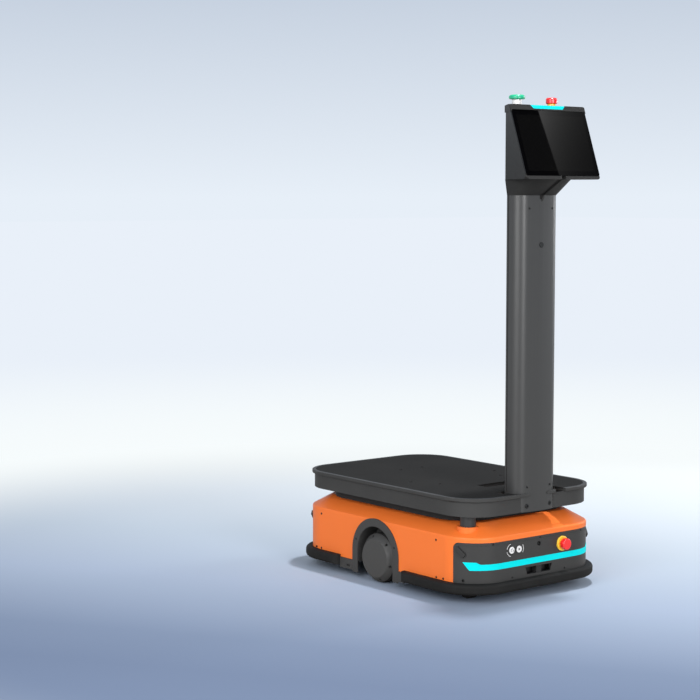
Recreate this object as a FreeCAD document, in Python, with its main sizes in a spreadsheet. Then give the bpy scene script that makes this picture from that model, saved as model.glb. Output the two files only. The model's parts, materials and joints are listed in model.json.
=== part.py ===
import FreeCAD, Part
import Sketcher
import math
import os
from types import SimpleNamespace

from FreeCAD import Rotation, Vector

os.makedirs("parts", exist_ok=True)
doc = FreeCAD.newDocument("mobile_robot")

# ---------------------------------------------------------------- driving sizes, in mm
# X runs across the robot, Y from its front (-Y) to its back, Z up from the floor.
# Until the last step Y = 0 is the middle of the base.
SIZES = {
    # rubber bumper round the base
    "bumper_side": 20.7, "bumper_end": 15.1, "bumper_corner": 17,
    "bumper_bottom": 25, "bumper_top": 52, "bumper_round": 9,
    "front_block_long": 23, "rear_block_long": 53, "bumper_end_round": 17,
    "block_bottom": 19, "block_slot_start": 10, "block_slot_long": 14,
    "block_slot_low": 26, "block_slot_high": 31,
    # orange shell
    "shell_width": 458.6, "shell_length": 702.8, "shell_radius": 100, "shell_wall": 3,
    "shell_bottom": 46, "shell_shoulder": 165, "shell_top": 195, "bevel_run": 55,
    "shoulder_round": 5,
    # front and rear fascia let into the shell
    "fascia_front_wrap": 72.4, "fascia_rear_wrap": 29.4, "fascia_top": 153, "fascia_corner": 14,
    "fascia_step": 145, "step_depth": 1.2, "joint_gap": 0.4,
    # light strip on the fascia
    "strip_low": 84.5, "strip_high": 99.5, "strip_tab_top": 105, "strip_proud": 0.8,
    "strip_tab_end": 48.4, "strip_tab_foot": 34.4, "strip_tab_inner": 23.4, "strip_tab_neck": 16.4,
    "rear_strip_end": 9.4, "rear_strip_slant": 8,
    # things in the front fascia
    "estop_x": 82, "estop_z": 123, "estop_ring": 19, "estop_cap": 14.6, "estop_stem": 9,
    "estop_flange": 4, "estop_lift": 4, "estop_height": 12,
    "key_x": 83.5, "key_spacing": 25, "key_z": 127.5, "key_radius": 8.6, "key_bezel": 10.6,
    "key_proud": 2.6, "bezel_proud": 1.2,
    "camera_z": 133, "camera_radius": 6,
    "window_half_top": 47, "window_half_low": 41, "window_low": 59, "window_high": 77.5,
    "window_depth": 22, "window_post": 9, "camera_border": 4, "camera_room": 1,
    "corner_unit_z": 130, "corner_unit_tall": 13, "corner_unit_long": 29, "corner_unit_proud": 6, "unit_deep": 9,
    "corner_unit_angle": 27.6, "rear_unit_z": 128, "rear_unit_angle": 56, "fascia_screw_angle": 75.2, "fascia_screw_z": 148.5,
    "contact_z": 122, "contact_wide": 90, "contact_tall": 14, "contact_gap": 12,
    # wheel arches
    "arch_z": 76, "arch_inner": 72, "arch_band": 21, "arch_bottom": 15, "arch_proud": 3,
    "arch_wall": 2.5, "arch_depth": 51,
    # chassis
    "plate_top": 93, "plate_thick": 5, "chassis_wall": 3, "chassis_inset": 5.2,
    "chassis_bottom": 34, "well_half": 82, "well_depth": 66,
    # drive wheels on sprung arms
    "wheel_y": 17, "wheel_radius": 65, "wheel_inset": 29.3, "tyre_width": 36, "hub_radius": 50,
    "cap_radius": 63, "cap_face": 50, "cap_depth": 14, "axle_radius": 8,
    "arm_reach": 112, "arm_rise": 7, "arm_inset": 34, "arm_thick": 9, "arm_pin": 10,
    "run_clearance": 0.05,
    # castors
    "castor_inset_x": 73.3, "castor_inset_y": 113.4, "castor_radius": 31.5, "castor_trail": 24,
    "castor_width": 24, "castor_leg": 3, "castor_plate": 60, "kingpin": 5, "castor_axle": 4,
    # battery and controller
    "battery_width": 220, "battery_length": 320, "battery_bottom": 38,
    "box_width": 230, "box_length": 200, "box_height": 62,
    # posts, cross frame and deck
    "post_angle": 52.1, "post_gap": 3.6, "post_radius": 14, "boot_radius": 20, "boss_radius": 26.5,
    "boss_top": 188, "strut_inset_x": 63, "strut_inset_y": 104.5,
    "slab_inset": 29.5, "slab_end_inset": 65, "slab_radius": 100, "slab_wall": 12,
    "slab_bottom": 197, "slab_hole": 120, "slab_hole_long": 216, "slab_hole_round": 30,
    "deck_width": 465, "deck_length": 699, "deck_radius": 100, "deck_top": 263,
    "deck_rim": 9, "skirt_inset": 7, "skirt_bottom": 216, "skirt_wall": 3, "rim_land": 10,
    "deck_sheet": 4, "deck_edge_round": 2,
    "slot_half": 50, "slot_front": 212, "slot_rear": 174,
    "well_x": 92, "well_back": 285, "well_front": 313, "notch_half": 60.5, "notch_far": 96, "notch_back": 311,
    "bolt_radius": 4.5, "bolt_a_x": 38, "bolt_a_y": 142, "bolt_b_x": 149, "bolt_b_y": 29,
    "bolt_c_x": 108, "bolt_c_y": 96,
    # column
    "column_width": 142, "column_depth": 53, "column_proud": 0.5, "column_corner": 32,
    "column_crown": 260, "column_wall": 3, "column_top": 1005, "seam_back": 10,
    "seam_wide": 3, "seam_deep": 1.6, "foot_high": 300, "foot_gap": 0.3,
    "foot_arm": 45, "foot_arm_top": 248, "foot_screw_x": 39.5, "foot_screw_low": 231, "foot_screw_high": 279,
    "head_screw_z": 973, "plug_z": 883, "plug_radius": 7.5,
    # head
    "head_overhang": 77, "head_low": 1044, "head_tilt": 19.1, "head_split": 1208,
    "head_top": 1225, "head_width": 258, "head_rim": 14, "head_round": 9,
    "head_inset": 56, "head_back_width": 150, "cap_overhang": 2, "neck_tenon": 45,
    "neck_half": 76, "neck_corner": 66, "neck_reach": 63,
    "groove_wide": 15, "groove_deep": 5, "head_corner": 12,
    "glass_side": 2, "glass_tall": 168, "glass_thick": 3, "glass_round": 6,
    "glass_rise": 9.3, "panel_margin": 11, "panel_thick": 9,
    "head_strip_half": 50, "head_strip_spread": 10, "head_strip_tall": 10, "head_strip_thick": 2.5,
    "head_red_inset": 82, "head_green_inset": 57, "head_key_back": 17,
    "head_red_cap": 14.2, "head_ring": 14.2, "head_ring_tall": 5,
    "green_cap": 20, "green_collar": 12, "collar_tall": 10, "green_stem": 10,
    # fasteners
    "screw_radius": 3, "screw_proud": 0.6, "screw_depth": 5, "foot_screw_radius": 6,
}

sheet = doc.addObject("Spreadsheet::Sheet", "dims")
for row, (alias, number) in enumerate(SIZES.items(), start=1):
    sheet.set(f"A{row}", alias)
    sheet.set(f"B{row}", str(number))
    sheet.setAlias(f"B{row}", alias)
doc.recompute()


class Size:
    """A number that also carries the sheet expression that it comes from."""

    def __init__(self, value, text):
        self.value = float(value)
        self.text = text

    def joined(self, sign, other, value):
        return Size(value, f"({self.text} {sign} {other.text})")

    def __add__(self, other):
        other = size(other)
        return self.joined("+", other, self.value + other.value)

    def __sub__(self, other):
        other = size(other)
        return self.joined("-", other, self.value - other.value)

    def __mul__(self, other):
        other = size(other)
        return self.joined("*", other, self.value * other.value)

    def __truediv__(self, other):
        other = size(other)
        return self.joined("/", other, self.value / other.value)

    def __radd__(self, other):
        return size(other) + self

    def __rsub__(self, other):
        return size(other) - self

    def __rmul__(self, other):
        return size(other) * self

    def __neg__(self):
        return Size(-self.value, f"(0 - {self.text})")


def size(number):
    return number if isinstance(number, Size) else Size(number, f"({float(number)!r})")


def root(number):
    return Size(math.sqrt(number.value), f"sqrt({number.text})")


def tangent(degrees):
    return Size(math.tan(math.radians(degrees.value)), f"tan({degrees.text})")


def cosine(degrees):
    return Size(math.cos(math.radians(degrees.value)), f"cos({degrees.text})")


def sine(degrees):
    return Size(math.sin(math.radians(degrees.value)), f"sin({degrees.text})")


S = SimpleNamespace(**{name: Size(number, f"dims.{name}") for name, number in SIZES.items()})

# ---------------------------------------------------------------- modelling helpers
UP = Rotation()
FRONT = Rotation(Vector(1, 0, 0), 90)
BACK = Rotation(Vector(1, 0, 0), -90)
RIGHT = Rotation(Vector(0, 1, 0), 90)
LEFT = Rotation(Vector(0, 1, 0), -90)
PLANES = {"XY": "XY_Plane", "XZ": "XZ_Plane", "YZ": "YZ_Plane"}


def bind(thing, path, number):
    thing.setExpression(path, size(number).text)


def place(thing, across=0, along=0, up=0, turn=UP):
    """Puts a finished object at a point that follows the sheet."""
    thing.Placement = FreeCAD.Placement(Vector(0, 0, 0), turn)
    for axis, number in zip("xyz", (across, along, up)):
        bind(thing, f".Placement.Base.{axis}", number)
    return thing


def new_sketch(body, plane, offset):
    sketch = body.newObject("Sketcher::SketchObject", body.Name + "_sketch")
    role = PLANES[plane]
    support = [feature for feature in body.Origin.OriginFeatures if feature.Role == role][0]
    sketch.AttachmentSupport = [(support, "")]
    sketch.MapMode = "FlatFace"
    bind(sketch, ".AttachmentOffset.Base.z", offset)
    return sketch


def fix(sketch, kind, where, number):
    index = sketch.addConstraint(Sketcher.Constraint(kind, *where, number.value))
    sketch.setExpression(f"Constraints[{index}]", number.text)


def arc_between(start, end, radius):
    """The short arc from start to end; a positive radius turns anticlockwise."""
    chord = end - start
    rise = math.sqrt(max(radius * radius - chord.Length ** 2 / 4, 0))
    side = Vector(-chord.y, chord.x, 0).normalize() * math.copysign(rise, radius)
    centre = (start + end) * 0.5 + side
    first, last = (start, end) if radius > 0 else (end, start)
    angles = [math.atan2(point.y - centre.y, point.x - centre.x) for point in (first, last)]
    if angles[1] < angles[0]:
        angles[1] += 2 * math.pi
    circle = Part.Circle(centre, Vector(0, 0, 1), abs(radius))
    return Part.ArcOfCircle(circle, *angles)


def draw(sketch, outline):
    """Draws a closed outline of points (x, y), or (x, y, radius) where an arc leads to the point.

    Three sizes in a Disc are a full circle."""
    if isinstance(outline, Disc):
        x, y, radius = (size(number) for number in (outline.x, outline.y, outline.radius))
        circle = Part.Circle(Vector(x.value, y.value, 0), Vector(0, 0, 1), radius.value)
        index = sketch.addGeometry(circle)
        fix(sketch, "DistanceX", (index, 3), x)
        fix(sketch, "DistanceY", (index, 3), y)
        fix(sketch, "Radius", (index,), radius)
        return
    steps = [tuple(size(number) for number in step) for step in outline]
    points = [Vector(step[0].value, step[1].value, 0) for step in steps]
    ends = []
    for index, step in enumerate(steps):
        start, end = points[index - 1], points[index]
        if len(step) == 3:
            edge = sketch.addGeometry(arc_between(start, end, step[2].value))
            ends.append((edge, 1, 2) if step[2].value > 0 else (edge, 2, 1))
            fix(sketch, "Radius", (edge,), step[2] if step[2].value > 0 else -step[2])
        else:
            edge = sketch.addGeometry(Part.LineSegment(start, end))
            ends.append((edge, 1, 2))
    for index, step in enumerate(steps):
        edge, _, tail = ends[index]
        following, head, _ = ends[(index + 1) % len(steps)]
        sketch.addConstraint(Sketcher.Constraint("Coincident", edge, tail, following, head))
        fix(sketch, "DistanceX", (edge, tail), step[0])
        fix(sketch, "DistanceY", (edge, tail), step[1])


class Disc:
    def __init__(self, x, y, radius):
        self.x, self.y, self.radius = x, y, radius


def new_body(name):
    body = doc.addObject("PartDesign::Body", name)
    body.AllowCompound = True
    return body


def pad(name, plane, low, high, *outlines):
    """A prism between two heights along the plane's axis; inner outlines are holes."""
    body = new_body(name)
    low, high = size(low), size(high)
    sketch = new_sketch(body, plane, -high if plane == "XZ" else low)
    for outline in outlines:
        draw(sketch, outline)
    feature = body.newObject("PartDesign::Pad", name + "_pad")
    feature.Profile = sketch
    bind(feature, "Length", high - low)
    sketch.Visibility = False
    return body


def spin(name, *outlines):
    """A turned piece about its own Z axis, from outlines in (radius, height)."""
    body = new_body(name)
    sketch = new_sketch(body, "XZ", 0)
    for outline in outlines:
        draw(sketch, outline)
    feature = body.newObject("PartDesign::Revolution", name + "_turn")
    feature.Profile = sketch
    feature.ReferenceAxis = (sketch, ["V_Axis"])
    feature.Angle = 360
    return body


def box(name, x, y, z):
    """A block between the two limits given along each axis."""
    block = doc.addObject("Part::Box", name)
    for side, (low, high) in zip(("Length", "Width", "Height"), (x, y, z)):
        bind(block, side, size(high) - low)
    return place(block, x[0], y[0], z[0])


def rod(name, radius, height, across=0, along=0, up=0, turn=UP):
    cylinder = doc.addObject("Part::Cylinder", name)
    bind(cylinder, "Radius", radius)
    bind(cylinder, "Height", height)
    return place(cylinder, across, along, up, turn)


def fuse(name, *pieces):
    joined = doc.addObject("Part::MultiFuse", name)
    joined.Shapes = list(pieces)
    joined.Refine = True
    return joined


def group(name, *pieces):
    """Separate solids that share one node."""
    together = doc.addObject("Part::Compound", name)
    together.Links = list(pieces)
    return together


def cut(name, base, *tools):
    tool = tools[0] if len(tools) == 1 else fuse(name + "_tools", *tools)
    result = doc.addObject("Part::Cut", name)
    result.Base, result.Tool = base, tool
    result.Refine = True
    return result


def common(name, first, second):
    result = doc.addObject("Part::Common", name)
    result.Base, result.Tool = first, second
    result.Refine = True
    return result


def mirror(name, source, normal=(1, 0, 0)):
    twin = doc.addObject("Part::Mirroring", name)
    twin.Source = source
    twin.Normal = Vector(*normal)
    return twin


def rounded(half_x, half_y, radius):
    """Outline of a rectangle with round corners about the origin."""
    half_x, half_y = size(half_x), size(half_y)
    near_x, near_y = half_x - radius, half_y - radius
    return [(near_x, -half_y), (half_x, -near_y, radius), (half_x, near_y),
            (near_x, half_y, radius), (-near_x, half_y), (-half_x, near_y, radius),
            (-half_x, -near_y), (-near_x, -half_y, radius)]


def rect(x_low, y_low, x_high, y_high):
    return [(x_high, y_low), (x_high, y_high), (x_low, y_high), (x_low, y_low)]


def ring_inset(width, length, radius, inset):
    """The outline of a rounded rectangle taken in by an inset, for walls that run parallel."""
    return rounded(width / 2 - inset, length / 2 - inset, radius - inset)


def shell_line(inset=0):
    return ring_inset(S.shell_width, S.shell_length, S.shell_radius, size(inset))


def chamfer_top(body, run, rise):
    """Slopes the top edge of a padded body inwards."""
    doc.recompute()
    pad_feature = body.Tip
    top = max(vertex.Z for vertex in pad_feature.Shape.Vertexes)
    edges = [f"Edge{index}" for index, edge in enumerate(pad_feature.Shape.Edges, start=1)
             if min(vertex.Z for vertex in edge.Vertexes) > top - 0.001]
    slope = body.newObject("PartDesign::Chamfer", body.Name + "_slope")
    slope.Base = (pad_feature, edges)
    slope.ChamferType = "Two distances"
    bind(slope, "Size", rise)
    bind(slope, "Size2", run)
    doc.recompute()
    return slope


def round_edges(body, radius, wanted):
    """Rounds the edges of a body's tip that the test picks."""
    doc.recompute()
    tip = body.Tip
    edges = [f"Edge{index}" for index, edge in enumerate(tip.Shape.Edges, start=1) if wanted(edge)]
    blend = body.newObject("PartDesign::Fillet", f"{body.Name}_round{len(body.Group)}")
    blend.Base = (tip, edges)
    bind(blend, "Radius", radius)
    doc.recompute()
    return blend


def level(edge, height):
    """True for an edge that lies at one height."""
    return all(abs(vertex.Z - height) < 0.01 for vertex in edge.Vertexes)


nodes = {}


def keep(node, thing):
    """Names a finished sub-part; it is moved to the robot's own frame and exported at the end."""
    thing.Label = node
    nodes[node] = thing
    return thing


SIDES = {"left": -1, "right": 1}
ENDS = {"front": -1, "rear": 1}


def span(sign, near, far):
    """The limits of a range on one side of the middle, lower one first."""
    near, far = size(near), size(far)
    return (near, far) if sign > 0 else (-far, -near)


def outward(sign):
    return RIGHT if sign > 0 else LEFT


def box_pair(name, x, y, z):
    """The same block on both sides of the middle."""
    return [box(f"{name}_{side}", span(sign, *x), y, z) for side, sign in SIDES.items()]


# ---------------------------------------------------------------- shared places
SHELL_SIDE = S.shell_width / 2
SHELL_END = S.shell_length / 2
SHELL_CORNER_X = SHELL_SIDE - S.shell_radius
SHELL_CORNER_Y = SHELL_END - S.shell_radius
BUMPER_SIDE = SHELL_SIDE + S.bumper_side
BUMPER_END = SHELL_END + S.bumper_end
PLATE_BOTTOM = S.plate_top - S.plate_thick
CHASSIS_SIDE = SHELL_SIDE - S.chassis_inset
ARCH_OUTER = S.arch_inner + S.arch_band
ARCH_FRONT = S.wheel_y - ARCH_OUTER
ARCH_REAR = S.wheel_y + ARCH_OUTER
FRONT_BLOCK_END = ARCH_FRONT - S.front_block_long
REAR_BLOCK_END = ARCH_REAR + S.rear_block_long
ARM_PIVOT_Y = S.wheel_y + S.arm_reach
ARM_PIVOT_Z = S.wheel_radius + S.arm_rise
WHEEL_MID = SHELL_SIDE - S.wheel_inset
ARM_MID = WHEEL_MID - S.arm_inset
ARM_INNER = ARM_MID - S.arm_thick / 2
ARM_OUTER = ARM_MID + S.arm_thick / 2
TYRE_INNER = WHEEL_MID - S.tyre_width / 2
TYRE_OUTER = WHEEL_MID + S.tyre_width / 2
AXLE_END = TYRE_OUTER - 4
DECK_SIDE = S.deck_width / 2
DECK_END = S.deck_length / 2
SLAB_SIDE = DECK_SIDE - S.slab_inset
SLAB_END = DECK_END - S.slab_end_inset
POST_REACH = S.slab_radius + S.boot_radius + S.post_gap
POST_X = SLAB_SIDE - S.slab_radius + POST_REACH * cosine(S.post_angle)
POST_Y = SLAB_END - S.slab_radius + POST_REACH * sine(S.post_angle)
COLUMN_FRONT = DECK_END + S.column_proud
RIM_BOTTOM = S.deck_top - S.deck_rim
SHEET_BOTTOM = S.deck_top - S.deck_sheet
COLUMN_HALF = S.column_width / 2
HEAD_REACH = COLUMN_FRONT + S.head_overhang
HEAD_BACK = COLUMN_FRONT - S.head_inset
NECK_FRONT = COLUMN_FRONT + S.neck_reach
HEAD_SIDE = S.head_width / 2
COLUMN_BACK = COLUMN_FRONT - S.column_depth
CROWN_Y = COLUMN_FRONT - S.column_crown
CROWN_REACH = root((S.column_crown - S.column_corner) * (S.column_crown - S.column_corner)
                   - (COLUMN_HALF - S.column_corner) * (COLUMN_HALF - S.column_corner))
TILT = Rotation(Vector(1, 0, 0), -S.head_tilt.value)
LEAN = tangent(S.head_tilt)
FRAME_SHIFT = (HEAD_REACH - BUMPER_END) / 2


def chassis_line(inset=0):
    return shell_line(S.chassis_inset + inset)


def arch_line(radius, bottom, inner=None):
    """Outline of a round-topped wheel arch in (y, z); with an inner radius it is a band."""
    y, z = S.wheel_y, S.arch_z
    radius = size(radius)
    line = [(y + radius, bottom), (y + radius, z), (y, z + radius, radius),
            (y - radius, z, radius), (y - radius, bottom)]
    if inner is not None:
        inner = size(inner)
        line += [(y - inner, bottom), (y - inner, z), (y, z + inner, -inner),
                 (y + inner, z, -inner), (y + inner, bottom)]
    return line


def column_line(offset=0):
    """Outline of the column in plan: crowned front, wide front corners, small back corners."""
    offset = size(offset)
    half = COLUMN_HALF + offset
    corner = S.column_corner + offset
    crown = S.column_crown + offset
    back = COLUMN_BACK - offset
    small = S.column_wall + 1 + offset
    centre_x = COLUMN_HALF - S.column_corner
    ratio = crown / (S.column_crown - S.column_corner)
    front_x = centre_x * ratio
    side_y = CROWN_Y + CROWN_REACH
    front_y = CROWN_Y + CROWN_REACH * ratio
    return [(half, -side_y, corner), (half, -(back + small)), (half - small, -back, small),
            (small - half, -back), (-half, -(back + small), small), (-half, -side_y),
            (-front_x, -front_y, corner), (front_x, -front_y, crown)]


# ---------------------------------------------------------------- screws
screws = {"small": [], "foot": []}
screw_holes = {}


def screw(host, across, along, up, turn, radius=S.screw_radius, proud=S.screw_proud):
    """One screw whose head looks along the turn, and the hole for it in its host."""
    number = sum(len(holes) for holes in screw_holes.values())
    kind = "foot" if radius is S.foot_screw_radius else "small"
    axis = turn.multVec(Vector(0, 0, 1))
    start = [size(place_) - (S.screw_depth * component if abs(component) > 0.001 else 0)
             for place_, component in zip((across, along, up), axis)]
    pin = rod(f"screw_{number}", radius, S.screw_depth + proud, *start, turn=turn)
    hole = rod(f"screw_hole_{number}", radius + S.run_clearance, S.screw_depth + 4, *start, turn=turn)
    screws[kind].append(pin)
    screw_holes.setdefault(host, []).append(hole)


def drilled(host, thing):
    """The host with the holes for its screws."""
    return cut(f"{host}_drilled", thing, group(f"{host}_holes", *screw_holes[host]))


def on_corner(angle, inset=0):
    """A place on the shell's round corner at an angle from the side towards the end."""
    reach = S.shell_radius - inset
    return SHELL_CORNER_X + reach * cosine(angle), SHELL_CORNER_Y + reach * sine(angle)


def place_screws():
    for sign in SIDES.values():
        turn = outward(sign)
        for along, up in ((247, 149.4), (269, 56.1), (246.8, 55.5),
                          (-219.4, 149.6), (-221.2, 55.7), (-247, 56.2)):
            screw("body_cover", sign * SHELL_SIDE, along, up, turn)
        band = S.arch_inner + S.arch_band / 2
        for degrees in (20, 160):
            along = S.wheel_y + band * math.cos(math.radians(degrees))
            up = S.arch_z + band * math.sin(math.radians(degrees))
            host = "left_wheel_arch" if sign < 0 else "right_wheel_arch"
            screw(host, sign * (SHELL_SIDE + S.arch_proud), along, up, turn)
            screw_holes["body_cover"].append(screw_holes[host][-1])
        screw("sub_frame", sign * SLAB_SIDE, -44, (S.slab_bottom + S.skirt_bottom) / 2, turn)
        for up in (S.foot_screw_high, S.head_screw_z):
            screw("column_profile", sign * S.foot_screw_x, -COLUMN_FRONT + 2.5, up, FRONT)
        screw("column_profile", sign * S.foot_screw_x, -COLUMN_FRONT + 2.5, S.foot_screw_low, FRONT,
              radius=S.foot_screw_radius)
        screw("front_panel", sign * 92, -SHELL_END, 58.5, FRONT)
        screw("rear_panel", sign * 92, SHELL_END, 58.5, BACK)
        angle = S.fascia_screw_angle
        out_x, out_y = on_corner(angle, S.step_depth)
        for host, along in (("front_panel", -1), ("rear_panel", 1)):
            bearing = math.degrees(math.atan2(along * sine(angle).value, sign * cosine(angle).value))
            radial = Rotation(Vector(0, 0, 1), bearing) * RIGHT
            screw(host, sign * out_x, along * out_y, S.fascia_screw_z, radial)
    screw("front_panel", 5, S.step_depth - SHELL_END, S.fascia_screw_z, FRONT)
    screw("rear_panel", 5, SHELL_END - S.step_depth, S.fascia_screw_z, BACK)


# ---------------------------------------------------------------- chassis and shell
def wells(name, bottom, top):
    """Tools for the clear spaces round both drive wheels."""
    low = S.wheel_y - S.well_half
    high = S.wheel_y + S.well_half
    return box_pair(name, (CHASSIS_SIDE - S.well_depth, CHASSIS_SIDE + 20), (low, high), (bottom, top))


def build_chassis():
    plate = pad("chassis_plate", "XY", PLATE_BOTTOM, S.plate_top, chassis_line())
    wall = pad("chassis_rail", "XY", S.chassis_bottom, PLATE_BOTTOM, chassis_line(),
               chassis_line(S.chassis_wall))
    joined = fuse("chassis_joined", plate, wall)
    half = S.window_half_top + S.camera_border + S.camera_room
    behind = S.window_depth + S.shell_wall + S.camera_room - SHELL_END
    notch = box("camera_notch", (-half, half), (-(SHELL_END + 5), behind),
                (S.window_low - S.camera_border - S.camera_room, S.plate_top + 5))
    keep("chassis_frame", cut("chassis_cut", joined, notch, *wells("well", 0, S.plate_top + 20)))


def shell_solid(name, inset, bottom):
    """The shell's volume taken in by a wall; its bevel stays parallel to the outer one."""
    rise = S.shell_top - S.shell_shoulder
    slope = root(S.bevel_run * S.bevel_run + rise * rise)
    inner_rise = rise - inset + inset * (slope - rise) / S.bevel_run
    body = pad(name, "XY", bottom, S.shell_top - inset, shell_line(inset))
    chamfer_top(body, inner_rise * S.bevel_run / rise, inner_rise)
    return body


def side_profile(name, sign, start, bottom, top, radius):
    """Everything beyond a side edge at an end of the base, with one round upper corner."""
    far = sign * (SHELL_END + 40)
    near = sign * size(start)
    bend = -radius if sign > 0 else radius
    line = [(far, bottom), (far, top), (near + sign * radius, top), (near, top - radius, -bend),
            (near, bottom)]
    return pad(name, "YZ", -(SHELL_SIDE + 40), SHELL_SIDE + 40, line)


def post_places():
    """The two posts outside the cross frame, at opposite corners."""
    return [("front_left", -POST_X, -POST_Y), ("rear_right", POST_X, POST_Y)]


def strut_places():
    """The four short posts hidden under the cross frame."""
    return [(f"strut_{end}_{side}", sign * (SLAB_SIDE - S.strut_inset_x), along * (SLAB_END - S.strut_inset_y))
            for side, sign in SIDES.items() for end, along in ENDS.items()]


def build_shell():
    outer = shell_solid("shell_outer", size(0), S.shell_bottom)
    shoulder = S.shell_shoulder.value
    round_edges(outer, S.shoulder_round, lambda edge: level(edge, shoulder))
    bosses = [rod(f"boss_{name}", S.boss_radius, S.boss_top - S.shell_shoulder, x, y,
                  S.shell_shoulder) for name, x, y in post_places()]
    hollow = shell_solid("shell_hollow", S.shell_wall, S.shell_bottom - 1)
    bores = [rod(f"boss_bore_{name}", S.post_radius + 0.5, S.shell_top, x, y, S.shell_bottom)
             for name, x, y in post_places() + strut_places()]
    windows = [side_profile("shell_front_window", -1, SHELL_END - S.fascia_front_wrap, 0, S.fascia_top, S.fascia_corner),
               side_profile("shell_rear_window", 1, SHELL_END - S.fascia_rear_wrap, 0, S.fascia_top, S.fascia_corner)]
    arches = [pad(f"shell_arch_{side}", "YZ", *span(sign, SHELL_SIDE - 10, SHELL_SIDE + 10),
                  arch_line(S.arch_inner + S.arch_wall + S.joint_gap, 0))
              for side, sign in SIDES.items()]
    unit_holes = corner_blocks("shell_unit_hole", size(0.3), S.unit_deep + 3)
    shell = cut("shell_cut", fuse("shell_bossed", outer, *bosses), hollow, unit_holes, *bores, *windows,
                *arches)
    keep("body_cover", drilled("body_cover", shell))


def fascia(name, sign, start):
    """The wrapped panel at one end: full thickness below, stepped back along its top edge."""
    gap = S.joint_gap
    lower = pad(f"{name}_lower", "XY", S.shell_bottom, S.fascia_step, shell_line(),
                shell_line(S.shell_wall))
    upper = pad(f"{name}_upper", "XY", S.fascia_step, S.fascia_top - gap, shell_line(S.step_depth),
                shell_line(S.shell_wall))
    profile = side_profile(f"{name}_profile", sign, start + gap, 0, S.fascia_top - gap,
                           S.fascia_corner - gap)
    return common(f"{name}_band", fuse(f"{name}_ring", lower, upper), profile)


def strip_line(grow=0):
    """The light strip in (y, z): a level band that widens into a slanted tab at each end."""
    far, end = -(SHELL_END + 20), -SHELL_END
    low, high, tab = S.strip_low - grow, S.strip_high + grow, S.strip_tab_top + grow
    return [(far, low), (end + S.strip_tab_foot + grow, low), (end + S.strip_tab_end + grow, tab),
            (end + S.strip_tab_inner - grow, tab), (end + S.strip_tab_neck - grow, high), (far, high)]


def rear_strip_line(grow=0):
    far = SHELL_END + 20
    near = SHELL_END - S.rear_strip_end - grow
    low, high = S.strip_low - grow, S.strip_high + grow
    return [(near, low), (far, low), (far, high), (near - S.rear_strip_slant, high)]


def strip(name, line, outset, inset, extra):
    ring = pad(f"{name}_ring", "XY", S.strip_low - 10, S.strip_tab_top + 10, shell_line(-outset),
               shell_line(inset))
    band = pad(f"{name}_band", "YZ", -(SHELL_SIDE + 20), SHELL_SIDE + 20, line(extra))
    return common(name, ring, band)


def corner_blocks(name, grow, depth):
    """Sensor blocks on the four corners, each turned with the corner and tilted down in front."""
    blocks = []
    for end, along in ENDS.items():
        angle = S.corner_unit_angle if along < 0 else S.rear_unit_angle
        height = S.corner_unit_z if along < 0 else S.rear_unit_z
        out_x, out_y = on_corner(angle)
        for side, sign in SIDES.items():
            bearing = math.degrees(math.atan2(along * sine(angle).value, sign * cosine(angle).value))
            roll = -42 if along * sign > 0 else 42
            turn = Rotation(Vector(0, 0, 1), bearing) * Rotation(Vector(1, 0, 0), roll)
            block = doc.addObject("Part::Box", f"{name}_{end}_{side}")
            long, tall = S.corner_unit_long + grow * 2, S.corner_unit_tall + grow * 2
            bind(block, "Length", depth + S.corner_unit_proud)
            bind(block, "Width", long)
            bind(block, "Height", tall)
            corner = turn.multVec(Vector(0, 1, 0)), turn.multVec(Vector(0, 0, 1))
            inner = turn.multVec(Vector(1, 0, 0))
            spot = [sign * out_x, along * out_y, height]
            for axis in range(3):
                spot[axis] = spot[axis] - long / 2 * corner[0][axis] - tall / 2 * corner[1][axis]
                spot[axis] = spot[axis] - depth * inner[axis]
            blocks.append(place(block, *spot, turn))
    return group(name, *blocks)


def window_line(grow=0):
    """The sensor window in (x, z), wider at its top."""
    top, low = S.window_half_top + grow, S.window_half_low + grow
    return [(low, S.window_low - grow), (top, S.window_high + grow), (-top, S.window_high + grow),
            (-low, S.window_low - grow)]


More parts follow.
